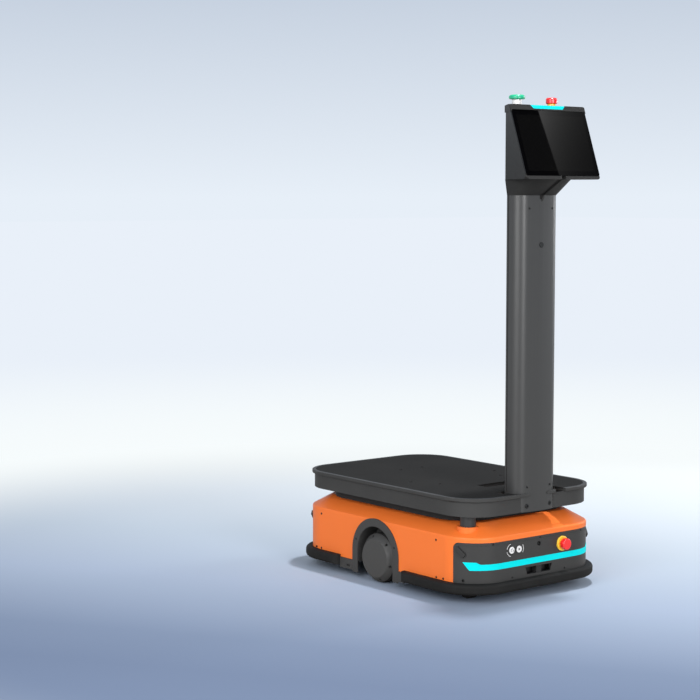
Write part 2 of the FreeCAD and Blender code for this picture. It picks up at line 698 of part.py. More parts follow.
def build_fascias():
    front = fascia("front_fascia", -1, SHELL_END - S.fascia_front_wrap)
    rear = fascia("rear_fascia", 1, SHELL_END - S.fascia_rear_wrap)
    proud = S.strip_proud
    sunk = S.step_depth
    keep("front_light_strip", strip("front_strip", strip_line, proud, sunk, 0))
    keep("rear_light_strip", strip("rear_strip", rear_strip_line, proud, sunk, 0))
    groove = strip("front_groove", strip_line, proud + 1, sunk + 0.1, 0.1)
    rear_groove = strip("rear_groove", rear_strip_line, proud + 1, sunk + 0.1, 0.1)
    units = corner_blocks("corner_unit", size(0), S.unit_deep)
    keep("corner_sensors", units)
    unit_holes = corner_blocks("corner_unit_hole", size(0.2), S.unit_deep + 3)
    inner, outer = -(SHELL_END - 20), -(SHELL_END + 20)
    window = pad("fascia_window", "XZ", outer, inner, window_line())
    sleeve = S.estop_ring - 4 + S.run_clearance
    estop_hole = rod("fascia_estop_hole", sleeve, 40, S.estop_x, inner, S.estop_z, FRONT)
    lens_hole = rod("fascia_lens_hole", S.camera_radius + 0.1, 40, 0, inner, S.camera_z, FRONT)
    key_holes = [rod(f"fascia_key_hole_{index}", S.key_bezel - 1.5 + S.run_clearance, 40,
                     across, inner, S.key_z, FRONT) for index, across in enumerate(key_places())]
    ovals = []
    for side, sign in SIDES.items():
        out_x, out_y = on_corner(size(31.6), 8)
        bearing = math.degrees(math.atan2(-math.sin(math.radians(31.6)),
                                          sign * math.cos(math.radians(31.6))))
        turn = Rotation(Vector(0, 0, 1), bearing) * RIGHT
        ovals.append(rod(f"fascia_oval_{side}", 4, 20, sign * out_x, -out_y, 58.2, turn))
    front_cut = cut("front_fascia_cut", front, groove, unit_holes, window, estop_hole, lens_hole,
                    *key_holes, *ovals)
    keep("front_panel", drilled("front_panel", front_cut))
    slots = contact_bars("contact_slot", 0.1, 20)
    rear_cut = cut("rear_fascia_cut", rear, rear_groove, unit_holes, *slots)
    keep("rear_panel", drilled("rear_panel", rear_cut))


def contact_bars(name, grow, depth):
    """Two charging bars in the rear fascia, one above the other."""
    bars = []
    for index, up in enumerate((S.contact_z - S.contact_gap, S.contact_z + S.contact_gap)):
        bars.append(box(f"{name}_{index}", (-(S.contact_wide / 2 + grow), S.contact_wide / 2 + grow),
                        (SHELL_END - depth, SHELL_END + 1.2 + grow),
                        (up - S.contact_tall / 2 - grow, up + S.contact_tall / 2 + grow)))
    return bars


def key_places():
    return (-(S.key_x - S.key_spacing / 2), -(S.key_x + S.key_spacing / 2))


def build_front_units():
    low, high = S.window_low - S.camera_border, S.window_high + S.camera_border
    half = S.window_half_top + S.camera_border
    face = -(SHELL_END - S.shell_wall)
    case = box("depth_case", (-half, half), (face, face + S.window_depth), (low, high))
    eyes = [box(f"depth_eye_{side}", span(sign, S.window_post, S.window_half_low - 2),
                (face - 1, face + 9), (S.window_low + 1.5, S.window_high - 1.5))
            for side, sign in SIDES.items()]
    bridge = box("depth_bridge", (-S.window_post, S.window_post), (face - S.shell_wall, face),
                 (S.window_low + 0.5, S.window_high - 0.5))
    keep("depth_camera", fuse("depth_joined", cut("depth_cut", case, *eyes), bridge))
    lens = spin("lens_turn", [(0, 0), (S.camera_radius, 0), (S.camera_radius, 16), (S.camera_radius - 1.5, 16),
                              (S.camera_radius - 2.5, 14), (0, 14)])
    keep("front_camera", place(lens, 0, -(SHELL_END - 15.2), S.camera_z, FRONT))
    bars = contact_bars("contact_bar", 0, 12)
    keep("charge_contacts", group("charge_bars", *bars))


# ---------------------------------------------------------------- push buttons
def mushroom(name, cap, base, tall, stem, stem_long, lift):
    """A round button: domed cap with an undercut that clears its ring, on a stem."""
    edge = size(cap) * 0.16
    undercut = base + 0.6
    line = [(0, -stem_long), (stem, -stem_long), (stem, lift), (undercut, lift), (undercut, 0),
            (cap - edge, 0), (cap, edge, edge), (cap, tall - edge * 2), (cap - edge * 2, tall, edge * 2),
            (0, tall)]
    return spin(name, line)


def stop_ring(name, outer, tall, bore, sleeve, back):
    """A collar on the panel face with a sleeve through the panel and a block behind it."""
    line = [(bore, -back), (sleeve, -back), (sleeve, 0), (outer, 0), (outer, tall - 1),
            (outer - 1, tall), (bore, tall)]
    return spin(name, line)


def build_buttons():
    bore = S.estop_stem + S.run_clearance
    face = -SHELL_END
    ring = stop_ring("front_ring_turn", S.estop_ring, S.estop_flange, bore,
                     S.estop_ring - 4, 34)
    keep("front_estop_ring", place(ring, S.estop_x, face, S.estop_z, FRONT))
    cap = spin("front_cap_turn", [(0, -24), (S.estop_stem, -24), (S.estop_stem, S.estop_lift),
                                  (S.estop_cap - 2, S.estop_lift),
                                  (S.estop_cap, S.estop_lift + 2, 2),
                                  (S.estop_cap, S.estop_lift + S.estop_height - 3),
                                  (S.estop_cap - 3, S.estop_lift + S.estop_height, 3),
                                  (0, S.estop_lift + S.estop_height)])
    keep("front_estop_button", place(cap, S.estop_x, face - S.estop_flange, S.estop_z, FRONT))
    bezels = []
    sleeve = S.key_bezel - 1.5
    hole = S.key_radius + S.run_clearance
    for index, (node, across) in enumerate(zip(("start_button", "reset_button"), key_places())):
        proud = S.bezel_proud
        wall = spin(f"key_bezel_{index}", [(3.05, -16), (sleeve, -16), (sleeve, 0), (S.key_bezel, 0),
                                           (S.key_bezel, proud - 0.4), (S.key_bezel - 0.4, proud),
                                           (hole, proud), (hole, -12), (3.05, -12)])
        bezels.append(place(wall, across, face, S.key_z, FRONT))
        key = spin(f"key_turn_{index}", [(0, -22), (3, -22), (3, -6), (S.key_radius, -6),
                                         (S.key_radius, S.key_proud - 0.8),
                                         (S.key_radius - 0.8, S.key_proud, 0.8), (0, S.key_proud)])
        keep(node, place(key, across, face, S.key_z, FRONT))
    keep("button_bezels", group("key_bezels", *bezels))


# ---------------------------------------------------------------- bumper and arches
def bumper_zone(sign):
    """Everything at one end of the base up to the bumper's round-nosed ends."""
    side, nose = BUMPER_SIDE, S.bumper_end_round
    far = sign * (BUMPER_END + 10)
    end = REAR_BLOCK_END if sign > 0 else FRONT_BLOCK_END
    turn = -sign * nose
    line = [(-side, far), (-side, end + sign * nose), (nose - side, end, -turn),
            (side - nose, end), (side, end + sign * nose, -turn), (side, far)]
    return pad(f"bumper_zone_{'rear' if sign > 0 else 'front'}", "XY", 0, S.bumper_top + 20, line)


def build_bumpers():
    ring = pad("bumper_blank", "XY", S.bumper_bottom, S.bumper_top,
               rounded(BUMPER_SIDE, BUMPER_END, S.shell_radius + S.bumper_corner))
    top, bottom = S.bumper_top.value, S.bumper_bottom.value
    round_edges(ring, S.bumper_round, lambda edge: level(edge, top) or level(edge, bottom))
    seat = S.shell_bottom - 0.5
    upper = pad("bumper_upper_hole", "XY", seat, S.bumper_top + 5, shell_line(-0.5))
    lower = pad("bumper_lower_hole", "XY", S.bumper_bottom - 5, seat, chassis_line(-0.4))
    hollow = cut("bumper_ring", ring, upper, lower)
    keep_front, keep_rear = bumper_zone(-1), bumper_zone(1)
    keep("front_bumper", common("bumper_front_half", hollow, keep_front))
    keep("rear_bumper", common("bumper_rear_half", hollow, keep_rear))
    blocks = []
    for side, sign in SIDES.items():
        face = SHELL_SIDE + S.arch_proud
        across = span(sign, CHASSIS_SIDE + 0.3, face)
        levels = (S.block_bottom, S.shell_bottom - 0.4)
        blocks.append(box(f"front_block_{side}", across,
                          (FRONT_BLOCK_END + S.joint_gap, ARCH_FRONT - S.joint_gap), levels))
        rear_block = box(f"rear_block_{side}", across,
                         (ARCH_REAR + S.joint_gap, REAR_BLOCK_END - S.joint_gap), levels)
        slot_y = ARCH_REAR + S.block_slot_start
        slot = box(f"rear_block_slot_{side}", span(sign, face - 5, face + 2),
                   (slot_y, slot_y + S.block_slot_long), (S.block_slot_low, S.block_slot_high))
        blocks.append(cut(f"rear_block_cut_{side}", rear_block, slot))
    keep("bumper_end_blocks", group("end_blocks", *blocks))


def build_arches():
    inner, wall = S.arch_inner, S.arch_wall
    root_x = SHELL_SIDE - S.arch_depth
    face = SHELL_SIDE + 0.1
    for side, sign in SIDES.items():
        flange = pad(f"arch_flange_{side}", "YZ", *span(sign, face, SHELL_SIDE + S.arch_proud),
                     arch_line(ARCH_OUTER, S.arch_bottom, inner))
        tunnel = pad(f"arch_tunnel_{side}", "YZ", *span(sign, root_x, face),
                     arch_line(inner + wall, S.arch_bottom + 30, inner))
        y, z = S.wheel_y, S.arch_z + 24
        half = root(inner * inner - size(24) * 24)
        closing = pad(f"arch_closing_{side}", "YZ", *span(sign, root_x, root_x + wall),
                      [(y + half, z), (y, S.arch_z + inner, inner), (y - half, z, inner)])
        joined = fuse(f"arch_joined_{side}", flange, tunnel, closing)
        node = f"{side}_wheel_arch"
        keep(node, drilled(node, joined))


# ---------------------------------------------------------------- drive wheels and castors
def build_drive():
    mounts = []
    for side, sign in SIDES.items():
        turn = outward(sign)
        pivot = (ARM_PIVOT_Y, ARM_PIVOT_Z)
        axle = (S.wheel_y, S.wheel_radius)
        web = pad(f"arm_web_{side}", "YZ", *span(sign, ARM_INNER, ARM_OUTER),
                  [(pivot[0], pivot[1] - 11), (pivot[0], pivot[1] + 11), (axle[0], axle[1] + 12),
                   (axle[0], axle[1] - 12)])
        pieces = [web,
                  rod(f"arm_eye_{side}", 14, S.arm_thick + 12, sign * (ARM_INNER - 8), *pivot, turn),
                  rod(f"arm_foot_{side}", 15, S.arm_thick + 4, sign * ARM_INNER, *axle, turn),
                  rod(f"arm_axle_{side}", S.axle_radius, AXLE_END - ARM_INNER, sign * ARM_INNER, *axle, turn)]
        bore = rod(f"arm_bore_{side}", S.arm_pin + S.run_clearance, 60, sign * (ARM_INNER - 20), *pivot, turn)
        keep(f"{side}_swing_arm", cut(f"arm_{side}", fuse(f"arm_joined_{side}", *pieces), bore))
        bracket = box(f"mount_plate_{side}", span(sign, ARM_INNER - 22, ARM_INNER - 12),
                      (ARM_PIVOT_Y - 17, ARM_PIVOT_Y + 17), (ARM_PIVOT_Z - 14, PLATE_BOTTOM))
        pin = rod(f"mount_pin_{side}", S.arm_pin, S.arm_thick + 28, sign * (ARM_INNER - 22), *pivot, turn)
        washer = rod(f"mount_washer_{side}", 13, 2, sign * (ARM_INNER + S.arm_thick + 4.2), *pivot, turn)
        mounts.append(fuse(f"mount_{side}", bracket, pin, washer))
        build_wheel(side, sign, turn, axle)
    keep("torsion_mounts", group("arm_mounts", *mounts))


def build_wheel(side, sign, turn, axle):
    width = S.tyre_width
    tyre = spin(f"tyre_turn_{side}", [(S.hub_radius, 0), (S.wheel_radius - 5, 0), (S.wheel_radius, 5, 5),
                                      (S.wheel_radius, width - 5), (S.wheel_radius - 5, width, 5),
                                      (S.hub_radius, width)])
    hub_bore = S.axle_radius + S.run_clearance
    hub = spin(f"hub_turn_{side}", [(hub_bore, 0), (S.hub_radius - 6, 0), (S.hub_radius - 6, 3),
                                    (S.hub_radius, 3), (S.hub_radius, width), (hub_bore, width)])
    dish = [(0, 0.3), (S.cap_radius - 12, 0.3), (S.cap_radius - 12, 0), (S.cap_radius, 0),
            (S.cap_radius, 1.4), (S.cap_face, 1.4 + S.cap_depth), (0, 1.4 + S.cap_depth)]
    cap = spin(f"cap_turn_{side}", dish)
    cap_place = sign * TYRE_OUTER
    for node, thing, across in ((f"{side}_drive_tyre", tyre, sign * TYRE_INNER),
                                (f"{side}_drive_hub", hub, sign * TYRE_INNER)):
        keep(node, place(thing, across, *axle, turn))
    place(cap, cap_place, *axle, turn)
    bolts = []
    reach = (S.cap_radius + S.cap_face) / 2
    for index in range(6):
        degrees = 60 * index + 15
        bolts.append(rod(f"cap_bolt_{side}_{index}", 3.4, 30, cap_place,
                         axle[0] + reach * math.cos(math.radians(degrees)),
                         axle[1] + reach * math.sin(math.radians(degrees)), turn))
        bind(bolts[-1], ".Placement.Base.x", sign * (TYRE_OUTER + 5.5))
    keep(f"{side}_hub_cap", cut(f"cap_{side}", cap, *bolts))


def build_castors():
    plates = []
    half = S.castor_plate / 2
    house_low = PLATE_BOTTOM - 9.9
    crown_top = house_low - 0.1
    crown_low = crown_top - 8
    for end, along in ENDS.items():
        for side, sign in SIDES.items():
            name = f"{end}_{side}"
            x, y = sign * (SHELL_SIDE - S.castor_inset_x), along * (SHELL_END - S.castor_inset_y)
            plate = box(f"castor_plate_{name}", (x - half, x + half), (y - half, y + half),
                        (PLATE_BOTTOM - 3, PLATE_BOTTOM))
            housing = rod(f"castor_house_{name}", 23, PLATE_BOTTOM - 3 - house_low, x, y, house_low)
            pin = rod(f"castor_pin_{name}", S.kingpin, house_low - crown_low + 4, x, y, crown_low - 4)
            head = rod(f"castor_head_{name}", 8, 3.9, x, y, crown_low - 4)
            plates.append(fuse(f"castor_top_{name}", plate, housing, pin, head))
            crown = rod(f"castor_crown_{name}", 23, crown_top - crown_low, x, y, crown_low)
            leg_in = S.castor_width / 2 + 3
            leg_out = leg_in + S.castor_leg
            wheel_along = y - S.castor_trail
            axle_up = S.castor_radius
            line = [(y + 15, crown_low), (y + 15, crown_top), (y - 20, crown_top),
                    (wheel_along - 11, axle_up + 2), (wheel_along - 6, axle_up - 9),
                    (wheel_along + 6, axle_up - 9), (wheel_along + 11, axle_up + 2)]
            legs = [pad(f"castor_leg_a_{name}", "YZ", x + leg_in, x + leg_out, line),
                    pad(f"castor_leg_b_{name}", "YZ", x - leg_out, x - leg_in, line)]
            axle = rod(f"castor_axle_{name}", S.castor_axle, leg_out * 2 + 2, x - leg_out - 1,
                       wheel_along, axle_up, RIGHT)
            hole = rod(f"castor_bore_{name}", S.kingpin + S.run_clearance, 20, x, y, crown_low - 5)
            fork = cut(f"castor_fork_cut_{name}", fuse(f"castor_fork_{name}", crown, *legs, axle), hole)
            keep(f"{name}_castor_fork", fork)
            width = S.castor_width
            bore = S.castor_axle + S.run_clearance
            wheel = spin(f"castor_wheel_turn_{name}",
                         [(bore, -2.7), (9, -2.7), (9, 0), (S.castor_radius - 4, 0),
                          (S.castor_radius, 4, 4), (S.castor_radius, width - 4),
                          (S.castor_radius - 4, width, 4), (9, width), (9, width + 2.7),
                          (bore, width + 2.7)])
            keep(f"{name}_castor_wheel", place(wheel, x - width / 2, wheel_along, axle_up, RIGHT))
    keep("caster_plates", group("castor_plates", *plates))


def build_inside():
    half = S.battery_width / 2
    long = S.battery_length / 2
    battery = box("battery", (-half, half), (-long, long), (S.battery_bottom, PLATE_BOTTOM))
    keep("battery_pack", battery)
    half = S.box_width / 2
    keep("control_box", box("controller", (-half, half), (-60, S.box_length - 60),
                            (S.plate_top, S.plate_top + S.box_height)))


# ---------------------------------------------------------------- posts and deck
def build_deck():
    posts = [rod(f"post_{name}", S.post_radius, RIM_BOTTOM - S.plate_top, x, y, S.plate_top)
             for name, x, y in post_places()]
    posts += [rod(f"post_{name}", S.post_radius, S.slab_bottom - S.plate_top, x, y, S.plate_top)
              for name, x, y in strut_places()]
    keep("deck_posts", group("posts", *posts))
    boots = []
    for name, x, y in post_places():
        sleeve = rod(f"boot_{name}", S.boot_radius, S.skirt_bottom + 14 - S.boss_top, x, y, S.boss_top)
        bore = rod(f"boot_bore_{name}", S.post_radius + S.run_clearance, 60, x, y, S.boss_top - 5)
        boots.append(cut(f"boot_cut_{name}", sleeve, bore, shell_solid(f"boot_seat_{name}", size(0),
                                                                      S.shell_bottom)))
    keep("post_boots", group("boots", *boots))
    slab_line = rounded(SLAB_SIDE, SLAB_END, S.slab_radius)
    wall = S.slab_wall
    inner_line = rounded(SLAB_SIDE - wall, SLAB_END - wall, S.slab_radius - wall)
    wall = pad("slab_wall", "XY", S.slab_bottom, RIM_BOTTOM, slab_line, inner_line)
    floor = pad("slab_floor", "XY", S.slab_bottom, S.slab_bottom + 4, slab_line,
                rounded(S.slab_hole, S.slab_hole_long, S.slab_hole_round))
    slab = fuse("slab_joined", wall, floor)
    keep("sub_frame", drilled("sub_frame", slab))
    rim = pad("deck_rim", "XY", RIM_BOTTOM, S.deck_top, rounded(DECK_SIDE, DECK_END, S.deck_radius))
    top, low = S.deck_top.value, RIM_BOTTOM.value
    round_edges(rim, S.deck_edge_round, lambda edge: level(edge, top) or level(edge, low))
    inset = S.skirt_inset
    skirt = pad("deck_skirt", "XY", S.skirt_bottom, RIM_BOTTOM,
                ring_inset(S.deck_width, S.deck_length, S.deck_radius, inset),
                ring_inset(S.deck_width, S.deck_length, S.deck_radius, inset + S.skirt_wall))
    land = S.rim_land
    pocket = pad("deck_pocket", "XY", SHEET_BOTTOM, S.deck_top + 5,
                 ring_inset(S.deck_width, S.deck_length, S.deck_radius, land))
    tray = cut("deck_tray_cut", fuse("deck_tray_joined", rim, skirt), pocket,
               *deck_holes("tray", S.bolt_radius))
    keep("deck_tray", tray)
    sheet_plate = pad("deck_sheet", "XY", SHEET_BOTTOM, S.deck_top,
                      ring_inset(S.deck_width, S.deck_length, S.deck_radius, land + S.joint_gap))
    keep("deck_plate", cut("deck_sheet_cut", sheet_plate, *deck_holes("plate", S.bolt_radius)))


def deck_holes(name, radius):
    """Bolt holes, slot, cable opening and the way through for the column."""
    tools = []
    pairs = ((S.bolt_a_x, S.bolt_a_y), (S.bolt_b_x, -S.bolt_b_y), (S.bolt_c_x, -S.bolt_c_y))
    for index, (x, y) in enumerate(pairs):
        for side, sign in SIDES.items():
            tools.append(rod(f"{name}_hole_{index}_{side}", radius, 60, sign * x, y, S.skirt_bottom))
    tools.append(box(f"{name}_slot", (-S.slot_half, S.slot_half), (-S.slot_front, -S.slot_rear),
                     (S.skirt_bottom, S.deck_top + 5)))
    tools.append(box(f"{name}_well", (-S.well_x, S.well_x), (-S.well_front, -S.well_back),
                     (S.skirt_bottom, S.deck_top + 5)))
    tools.append(box(f"{name}_cable_notch", (S.notch_half, S.notch_far), (-(DECK_END + 5), -S.notch_back),
                     (RIM_BOTTOM, S.deck_top + 5)))
    tools.append(pad(f"{name}_way", "XY", S.skirt_bottom - 5, S.deck_top + 5, column_line(1)))
    return tools


# ---------------------------------------------------------------- column and head
def build_column():
    outer = pad("column_outer", "XY", S.skirt_bottom, S.column_top, column_line())
    bore = pad("column_bore", "XY", S.skirt_bottom - 5, S.column_top + 5, column_line(-S.column_wall))
    seam_y = -(COLUMN_BACK + S.seam_back)
    seams = [box(f"column_seam_{side}", span(sign, COLUMN_HALF - S.seam_deep, COLUMN_HALF + 5),
                 (seam_y, seam_y + S.seam_wide), (S.skirt_bottom - 5, S.column_top + 5))
             for side, sign in SIDES.items()]
    front = -(COLUMN_FRONT + 10)
    plug_hole = rod("plug_hole", S.plug_radius - 1.5, 30, 0, front + 30, S.plug_z, FRONT)
    room = S.foot_gap
    window = box("column_window", (-(S.foot_arm + room), S.foot_arm + room),
                 (-(COLUMN_BACK + S.column_wall + 1), 1 - COLUMN_BACK),
                 (S.skirt_bottom - 5, S.foot_arm_top + room))
    column = cut("column_cut", outer, bore, *seams, plug_hole, window, neck_groove("column_groove"))
    keep("column_profile", drilled("column_profile", column))
    plug = spin("plug_turn", [(0, -6), (S.plug_radius - 1.6, -6), (S.plug_radius - 1.6, 0.1),
                              (S.plug_radius, 0.1), (S.plug_radius, 0.9), (S.plug_radius - 1, 1.6),
                              (0, 1.6)])
    keep("column_plug", place(plug, 0, -COLUMN_FRONT, S.plug_z, FRONT))
    gap = S.foot_gap
    block = pad("foot_block", "XY", S.skirt_bottom + 1, S.foot_high, column_line(-(S.column_wall + gap)))
    arm = box("foot_arm", (-S.foot_arm, S.foot_arm), (-(COLUMN_BACK + 10), -SLAB_END),
              (S.skirt_bottom + 1, S.foot_arm_top))
    screw_room = [rod(f"foot_screw_room_{index}", radius + 0.3, 14, x * S.foot_screw_x,
                      -(COLUMN_FRONT - 12), z, FRONT)
                  for index, (x, z, radius) in enumerate(foot_screws())]
    keep("column_foot", cut("foot_cut", fuse("foot_joined", block, arm), *screw_room))


def foot_screws():
    return [(sign, z, radius) for sign in SIDES.values()
            for z, radius in ((S.foot_screw_low, S.foot_screw_radius), (S.foot_screw_high, S.screw_radius))]


def wedge_line(up, inset, corner):
    """The head in plan at a height: narrow at the back, wide at the tilted front."""
    inset = size(inset)
    front = HEAD_REACH - (up - S.head_low) * LEAN - inset
    back = HEAD_BACK + inset
    rear_half = S.head_back_width / 2 - inset
    front_half = S.head_width / 2 - inset
    slope = (front_half - rear_half) / (front - back)
    step = corner
    return [(rear_half - step, -back), (rear_half, -(back + step)),
            (front_half - slope * step, -(front - step)), (front_half - step, -front),
            (step - front_half, -front), (slope * step - front_half, -(front - step)),
            (-rear_half, -(back + step)), (step - rear_half, -back)]


def sheet_outline(name, up, outline):
    sketch = doc.addObject("Sketcher::SketchObject", name)
    bind(sketch, ".Placement.Base.z", up)
    draw(sketch, outline)
    sketch.Visibility = False
    return sketch


def loft(name, ruled, *sections):
    skin = doc.addObject("Part::Loft", name)
    skin.Sections = list(sections)
    skin.Solid = True
    skin.Ruled = ruled
    return skin


def wedge(name, low, high, inset, corner):
    sections = [sheet_outline(f"{name}_{level_name}", size(up), wedge_line(size(up), inset, size(corner)))
                for level_name, up in (("low", low), ("high", high))]
    return loft(name, True, *sections)


def neck_line():
    """The neck where it meets the head: straight back, deep round corners to the front."""
    rear_half = S.head_back_width / 2
    half, corner, front, back = S.neck_half, S.neck_corner, NECK_FRONT, HEAD_BACK
    small = S.column_wall + 1
    return [(half, -(front - corner), corner), (rear_half, -(back + small)),
            (rear_half - small, -back, small), (small - rear_half, -back),
            (-rear_half, -(back + small), small), (-half, -(front - corner)),
            (corner - half, -front, corner), (half - corner, -front)]


def neck_groove(name):
    """The round-ended groove that runs up the middle of the neck's sloping front."""
    reach = NECK_FRONT - COLUMN_FRONT
    rise = S.head_low - S.column_top
    slope = root(reach * reach + rise * rise)
    half = S.groove_wide / 2
    body = new_body(name)
    sketch = new_sketch(body, "XY", -S.groove_deep)
    draw(sketch, [(half, slope + 30), (-half, slope + 30), (-half, 0), (0, -half, half), (half, 0, half)])
    feature = body.newObject("PartDesign::Pad", name + "_pad")
    feature.Profile = sketch
    bind(feature, "Length", S.groove_deep + 30)
    turn = Rotation(Vector(1, 0, 0), math.degrees(math.atan2(rise.value, -reach.value)))
    return place(body, 0, -COLUMN_FRONT, S.column_top, turn)


def on_glass(name, half, low, high, front, back, corner_turn=TILT):
    """A block in the tilted plane of the display, measured from the head's lower front edge."""
    piece = doc.addObject("Part::Box", name)
    bind(piece, "Length", size(half) * 2)
    bind(piece, "Width", size(back) - front)
    bind(piece, "Height", size(high) - low)
    lean, rise = sine(S.head_tilt), cosine(S.head_tilt)
    low, front = size(low), size(front)
    return place(piece, -size(half), low * lean + front * rise - HEAD_REACH,
                 S.head_low + low * rise - front * lean, corner_turn)


def build_head():
    low, split = S.head_low, S.head_split
    skin = wedge("head_wedge", low, split, 0, 3)
    neck = loft("head_neck", False,
                sheet_outline("neck_low", S.column_top, column_line()),
                sheet_outline("neck_high", low + 0.01, neck_line()))
    tenon = pad("head_tenon", "XY", S.column_top - S.neck_tenon, S.column_top,
                column_line(-(S.column_wall + S.foot_gap)))
    blank = fuse("head_blank", skin, neck, tenon)
    hollow = wedge("head_hollow", low + 12, split + 0.01, 5, 3)
    half = HEAD_SIDE - S.glass_side
    rise = S.glass_rise
    top = rise + S.glass_tall
    pocket = glass_block("glass_pocket", half + 0.3, rise - 0.3, top + 0.3, -4, S.glass_thick - 0.6)
    margin = S.panel_margin
    window = on_glass("panel_window", half - margin, rise + margin, top - margin, 0, 12)
    shape = front_view_prism("head_front_view", low - 60, split + 30)
    room = [rod(f"head_screw_room_{side}", S.screw_radius + 0.3, 30, sign * S.foot_screw_x,
                -(COLUMN_FRONT - 12), S.head_screw_z, FRONT) for side, sign in SIDES.items()]
    limited = common("head_limited", blank, shape)
    keep("head_housing", cut("head_cut", limited, hollow, pocket, window, neck_groove("head_groove"), *room))
    glass = glass_block("glass", half, rise, top, -0.6, S.glass_thick - 0.6)
    keep("screen_glass", glass)
    keep("display_module", on_glass("panel", half - margin - 0.4, rise + margin + 0.4,
                                    top - margin - 0.4, S.glass_thick - 0.6, S.panel_thick + 3))
    build_head_cap(pocket)


def glass_block(name, half, low, high, front, back):
    """A thin block with round corners in the plane of the display."""
    body = new_body(name)
    sketch = new_sketch(body, "XZ", 0)
    half, low, high, radius = size(half), size(low), size(high), S.glass_round
    draw(sketch, [(half - radius, low), (half, low + radius, radius), (half, high - radius),
                  (half - radius, high, radius), (radius - half, high), (-half, high - radius, radius),
                  (-half, low + radius), (radius - half, low, radius)])
    feature = body.newObject("PartDesign::Pad", name + "_pad")
    feature.Profile = sketch
    bind(feature, "Length", size(back) - front)
    lean, rise = sine(S.head_tilt), cosine(S.head_tilt)
    back = size(back)
    return place(body, 0, back * rise - HEAD_REACH, S.head_low - back * lean, TILT)


def front_view_prism(name, low, high):
    """The head's outline from the front: round lower corners on each side of the neck."""
    half, radius = S.head_width / 2 - 0.3, S.head_corner
    wide = pad(f"{name}_wide", "XZ", -(HEAD_REACH + 20), -(HEAD_BACK - 20),
               [(half - radius, S.head_low), (half, S.head_low + radius, radius), (half, high),
                (-half, high), (-half, S.head_low + radius), (radius - half, S.head_low, radius)])
    narrow = box(f"{name}_narrow", (-100, 100), (-(HEAD_REACH + 20), -(HEAD_BACK - 20)),
                 (low, S.head_low + 5))
    return fuse(name, wide, narrow)


def build_head_cap(pocket):
    split, top = S.head_split, S.head_top
    lid = wedge("cap_wedge", split, top, -S.cap_overhang, 3)
    half, radius = S.head_width / 2 + S.cap_overhang, S.head_round
    view = pad("cap_front_view", "XZ", -(HEAD_REACH + 20), -(HEAD_BACK - 20),
               [(half, split - 5), (half, top - radius), (half - radius, top, radius),
                (radius - half, top), (-half, top - radius, radius), (-half, split - 5)])
    face = common("cap_face", lid, view)
    y = S.head_key_back - COLUMN_FRONT
    holes = [rod("cap_red_hole", head_sleeve(S.head_ring) + 0.1, 60, HEAD_SIDE - S.head_red_inset, y, split - 20),
             rod("cap_green_hole", head_sleeve(S.green_collar) + 0.1, 60, S.head_green_inset - HEAD_SIDE, y, split - 20)]
    seat = head_strip("cap_strip_seat", 0.1)
    keep("head_cap", cut("cap_cut", face, pocket, seat, *holes))
    keep("head_light_strip", head_strip("cap_strip", 0))
    red_bore = size(6) + S.run_clearance
    ring = stop_ring("head_ring_turn", S.head_ring - 3.4, 7, red_bore, head_sleeve(S.head_ring), 40)
    keep("head_estop_ring", place(ring, HEAD_SIDE - S.head_red_inset, y, top))
    red = mushroom("head_red_turn", S.head_red_cap, S.head_ring - 3.4, 15, 6, 40, 5)
    keep("head_estop_button", place(red, HEAD_SIDE - S.head_red_inset, y, top + 6.5))
    green_bore = size(7) + S.run_clearance
    collar = stop_ring("head_collar_turn", S.green_collar, 14, green_bore, head_sleeve(S.green_collar), 40)
    keep("head_button_collar", place(collar, S.head_green_inset - HEAD_SIDE, y, top))
    green = mushroom("head_green_turn", S.green_cap, S.green_collar, 11, 7, 45, 6)
    keep("head_start_button", place(green, S.head_green_inset - HEAD_SIDE, y, top + 14))


def head_sleeve(radius):
    return size(radius) - 4


def head_strip(name, grow):
    """The light bar on the cap's tilted edge, wider at its top."""
    half = S.head_strip_half + grow
    spread = S.head_strip_spread * (1 + size(grow) * 20 / S.head_strip_tall) + grow
    rise = (S.head_top - S.head_low) / cosine(S.head_tilt)
    low, high = rise - S.head_strip_tall - grow, rise - 0.8 + grow * 20
    body = new_body(name)
    sketch = new_sketch(body, "XZ", 0)
    draw(sketch, [(half, low), (half + spread, high), (-(half + spread), high), (-half, low)])
    feature = body.newObject("PartDesign::Pad", name + "_pad")
    feature.Profile = sketch
    front, back = -0.8 - grow * 20, S.head_strip_thick + grow
    bind(feature, "Length", back - front)
    return place(body, 0, back * cosine(S.head_tilt) - HEAD_REACH,
                 S.head_low - back * sine(S.head_tilt), TILT)


# ---------------------------------------------------------------- whole robot
place_screws()
build_chassis()
build_shell()
build_fascias()
build_front_units()
build_buttons()
build_bumpers()
build_arches()
build_drive()
build_castors()
build_inside()
build_deck()
build_column()
build_head()
keep("body_screws", group("small_screws", *screws["small"]))
keep("foot_screws", group("large_screws", *screws["foot"]))

doc.recompute()
for thing in nodes.values():
    old = [text for path, text in thing.ExpressionEngine if path.endswith("Placement.Base.y")]
    text = FRAME_SHIFT.text if not old else f"{old[0]} + {FRAME_SHIFT.text}"
    thing.setExpression(".Placement.Base.y", text)
doc.recompute()

for thing in doc.Objects:
    assert "Invalid" not in thing.State and "Error" not in thing.State, (thing.Name, thing.State)
for node, thing in nodes.items():
    shape = thing.Shape
    assert not shape.isNull() and shape.isValid(), node
    shape.exportStep(f"parts/{node}.step")
print(len(nodes), "sub-parts")
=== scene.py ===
import json
import math

import bmesh
import bpy
from mathutils import Euler, Matrix, Vector


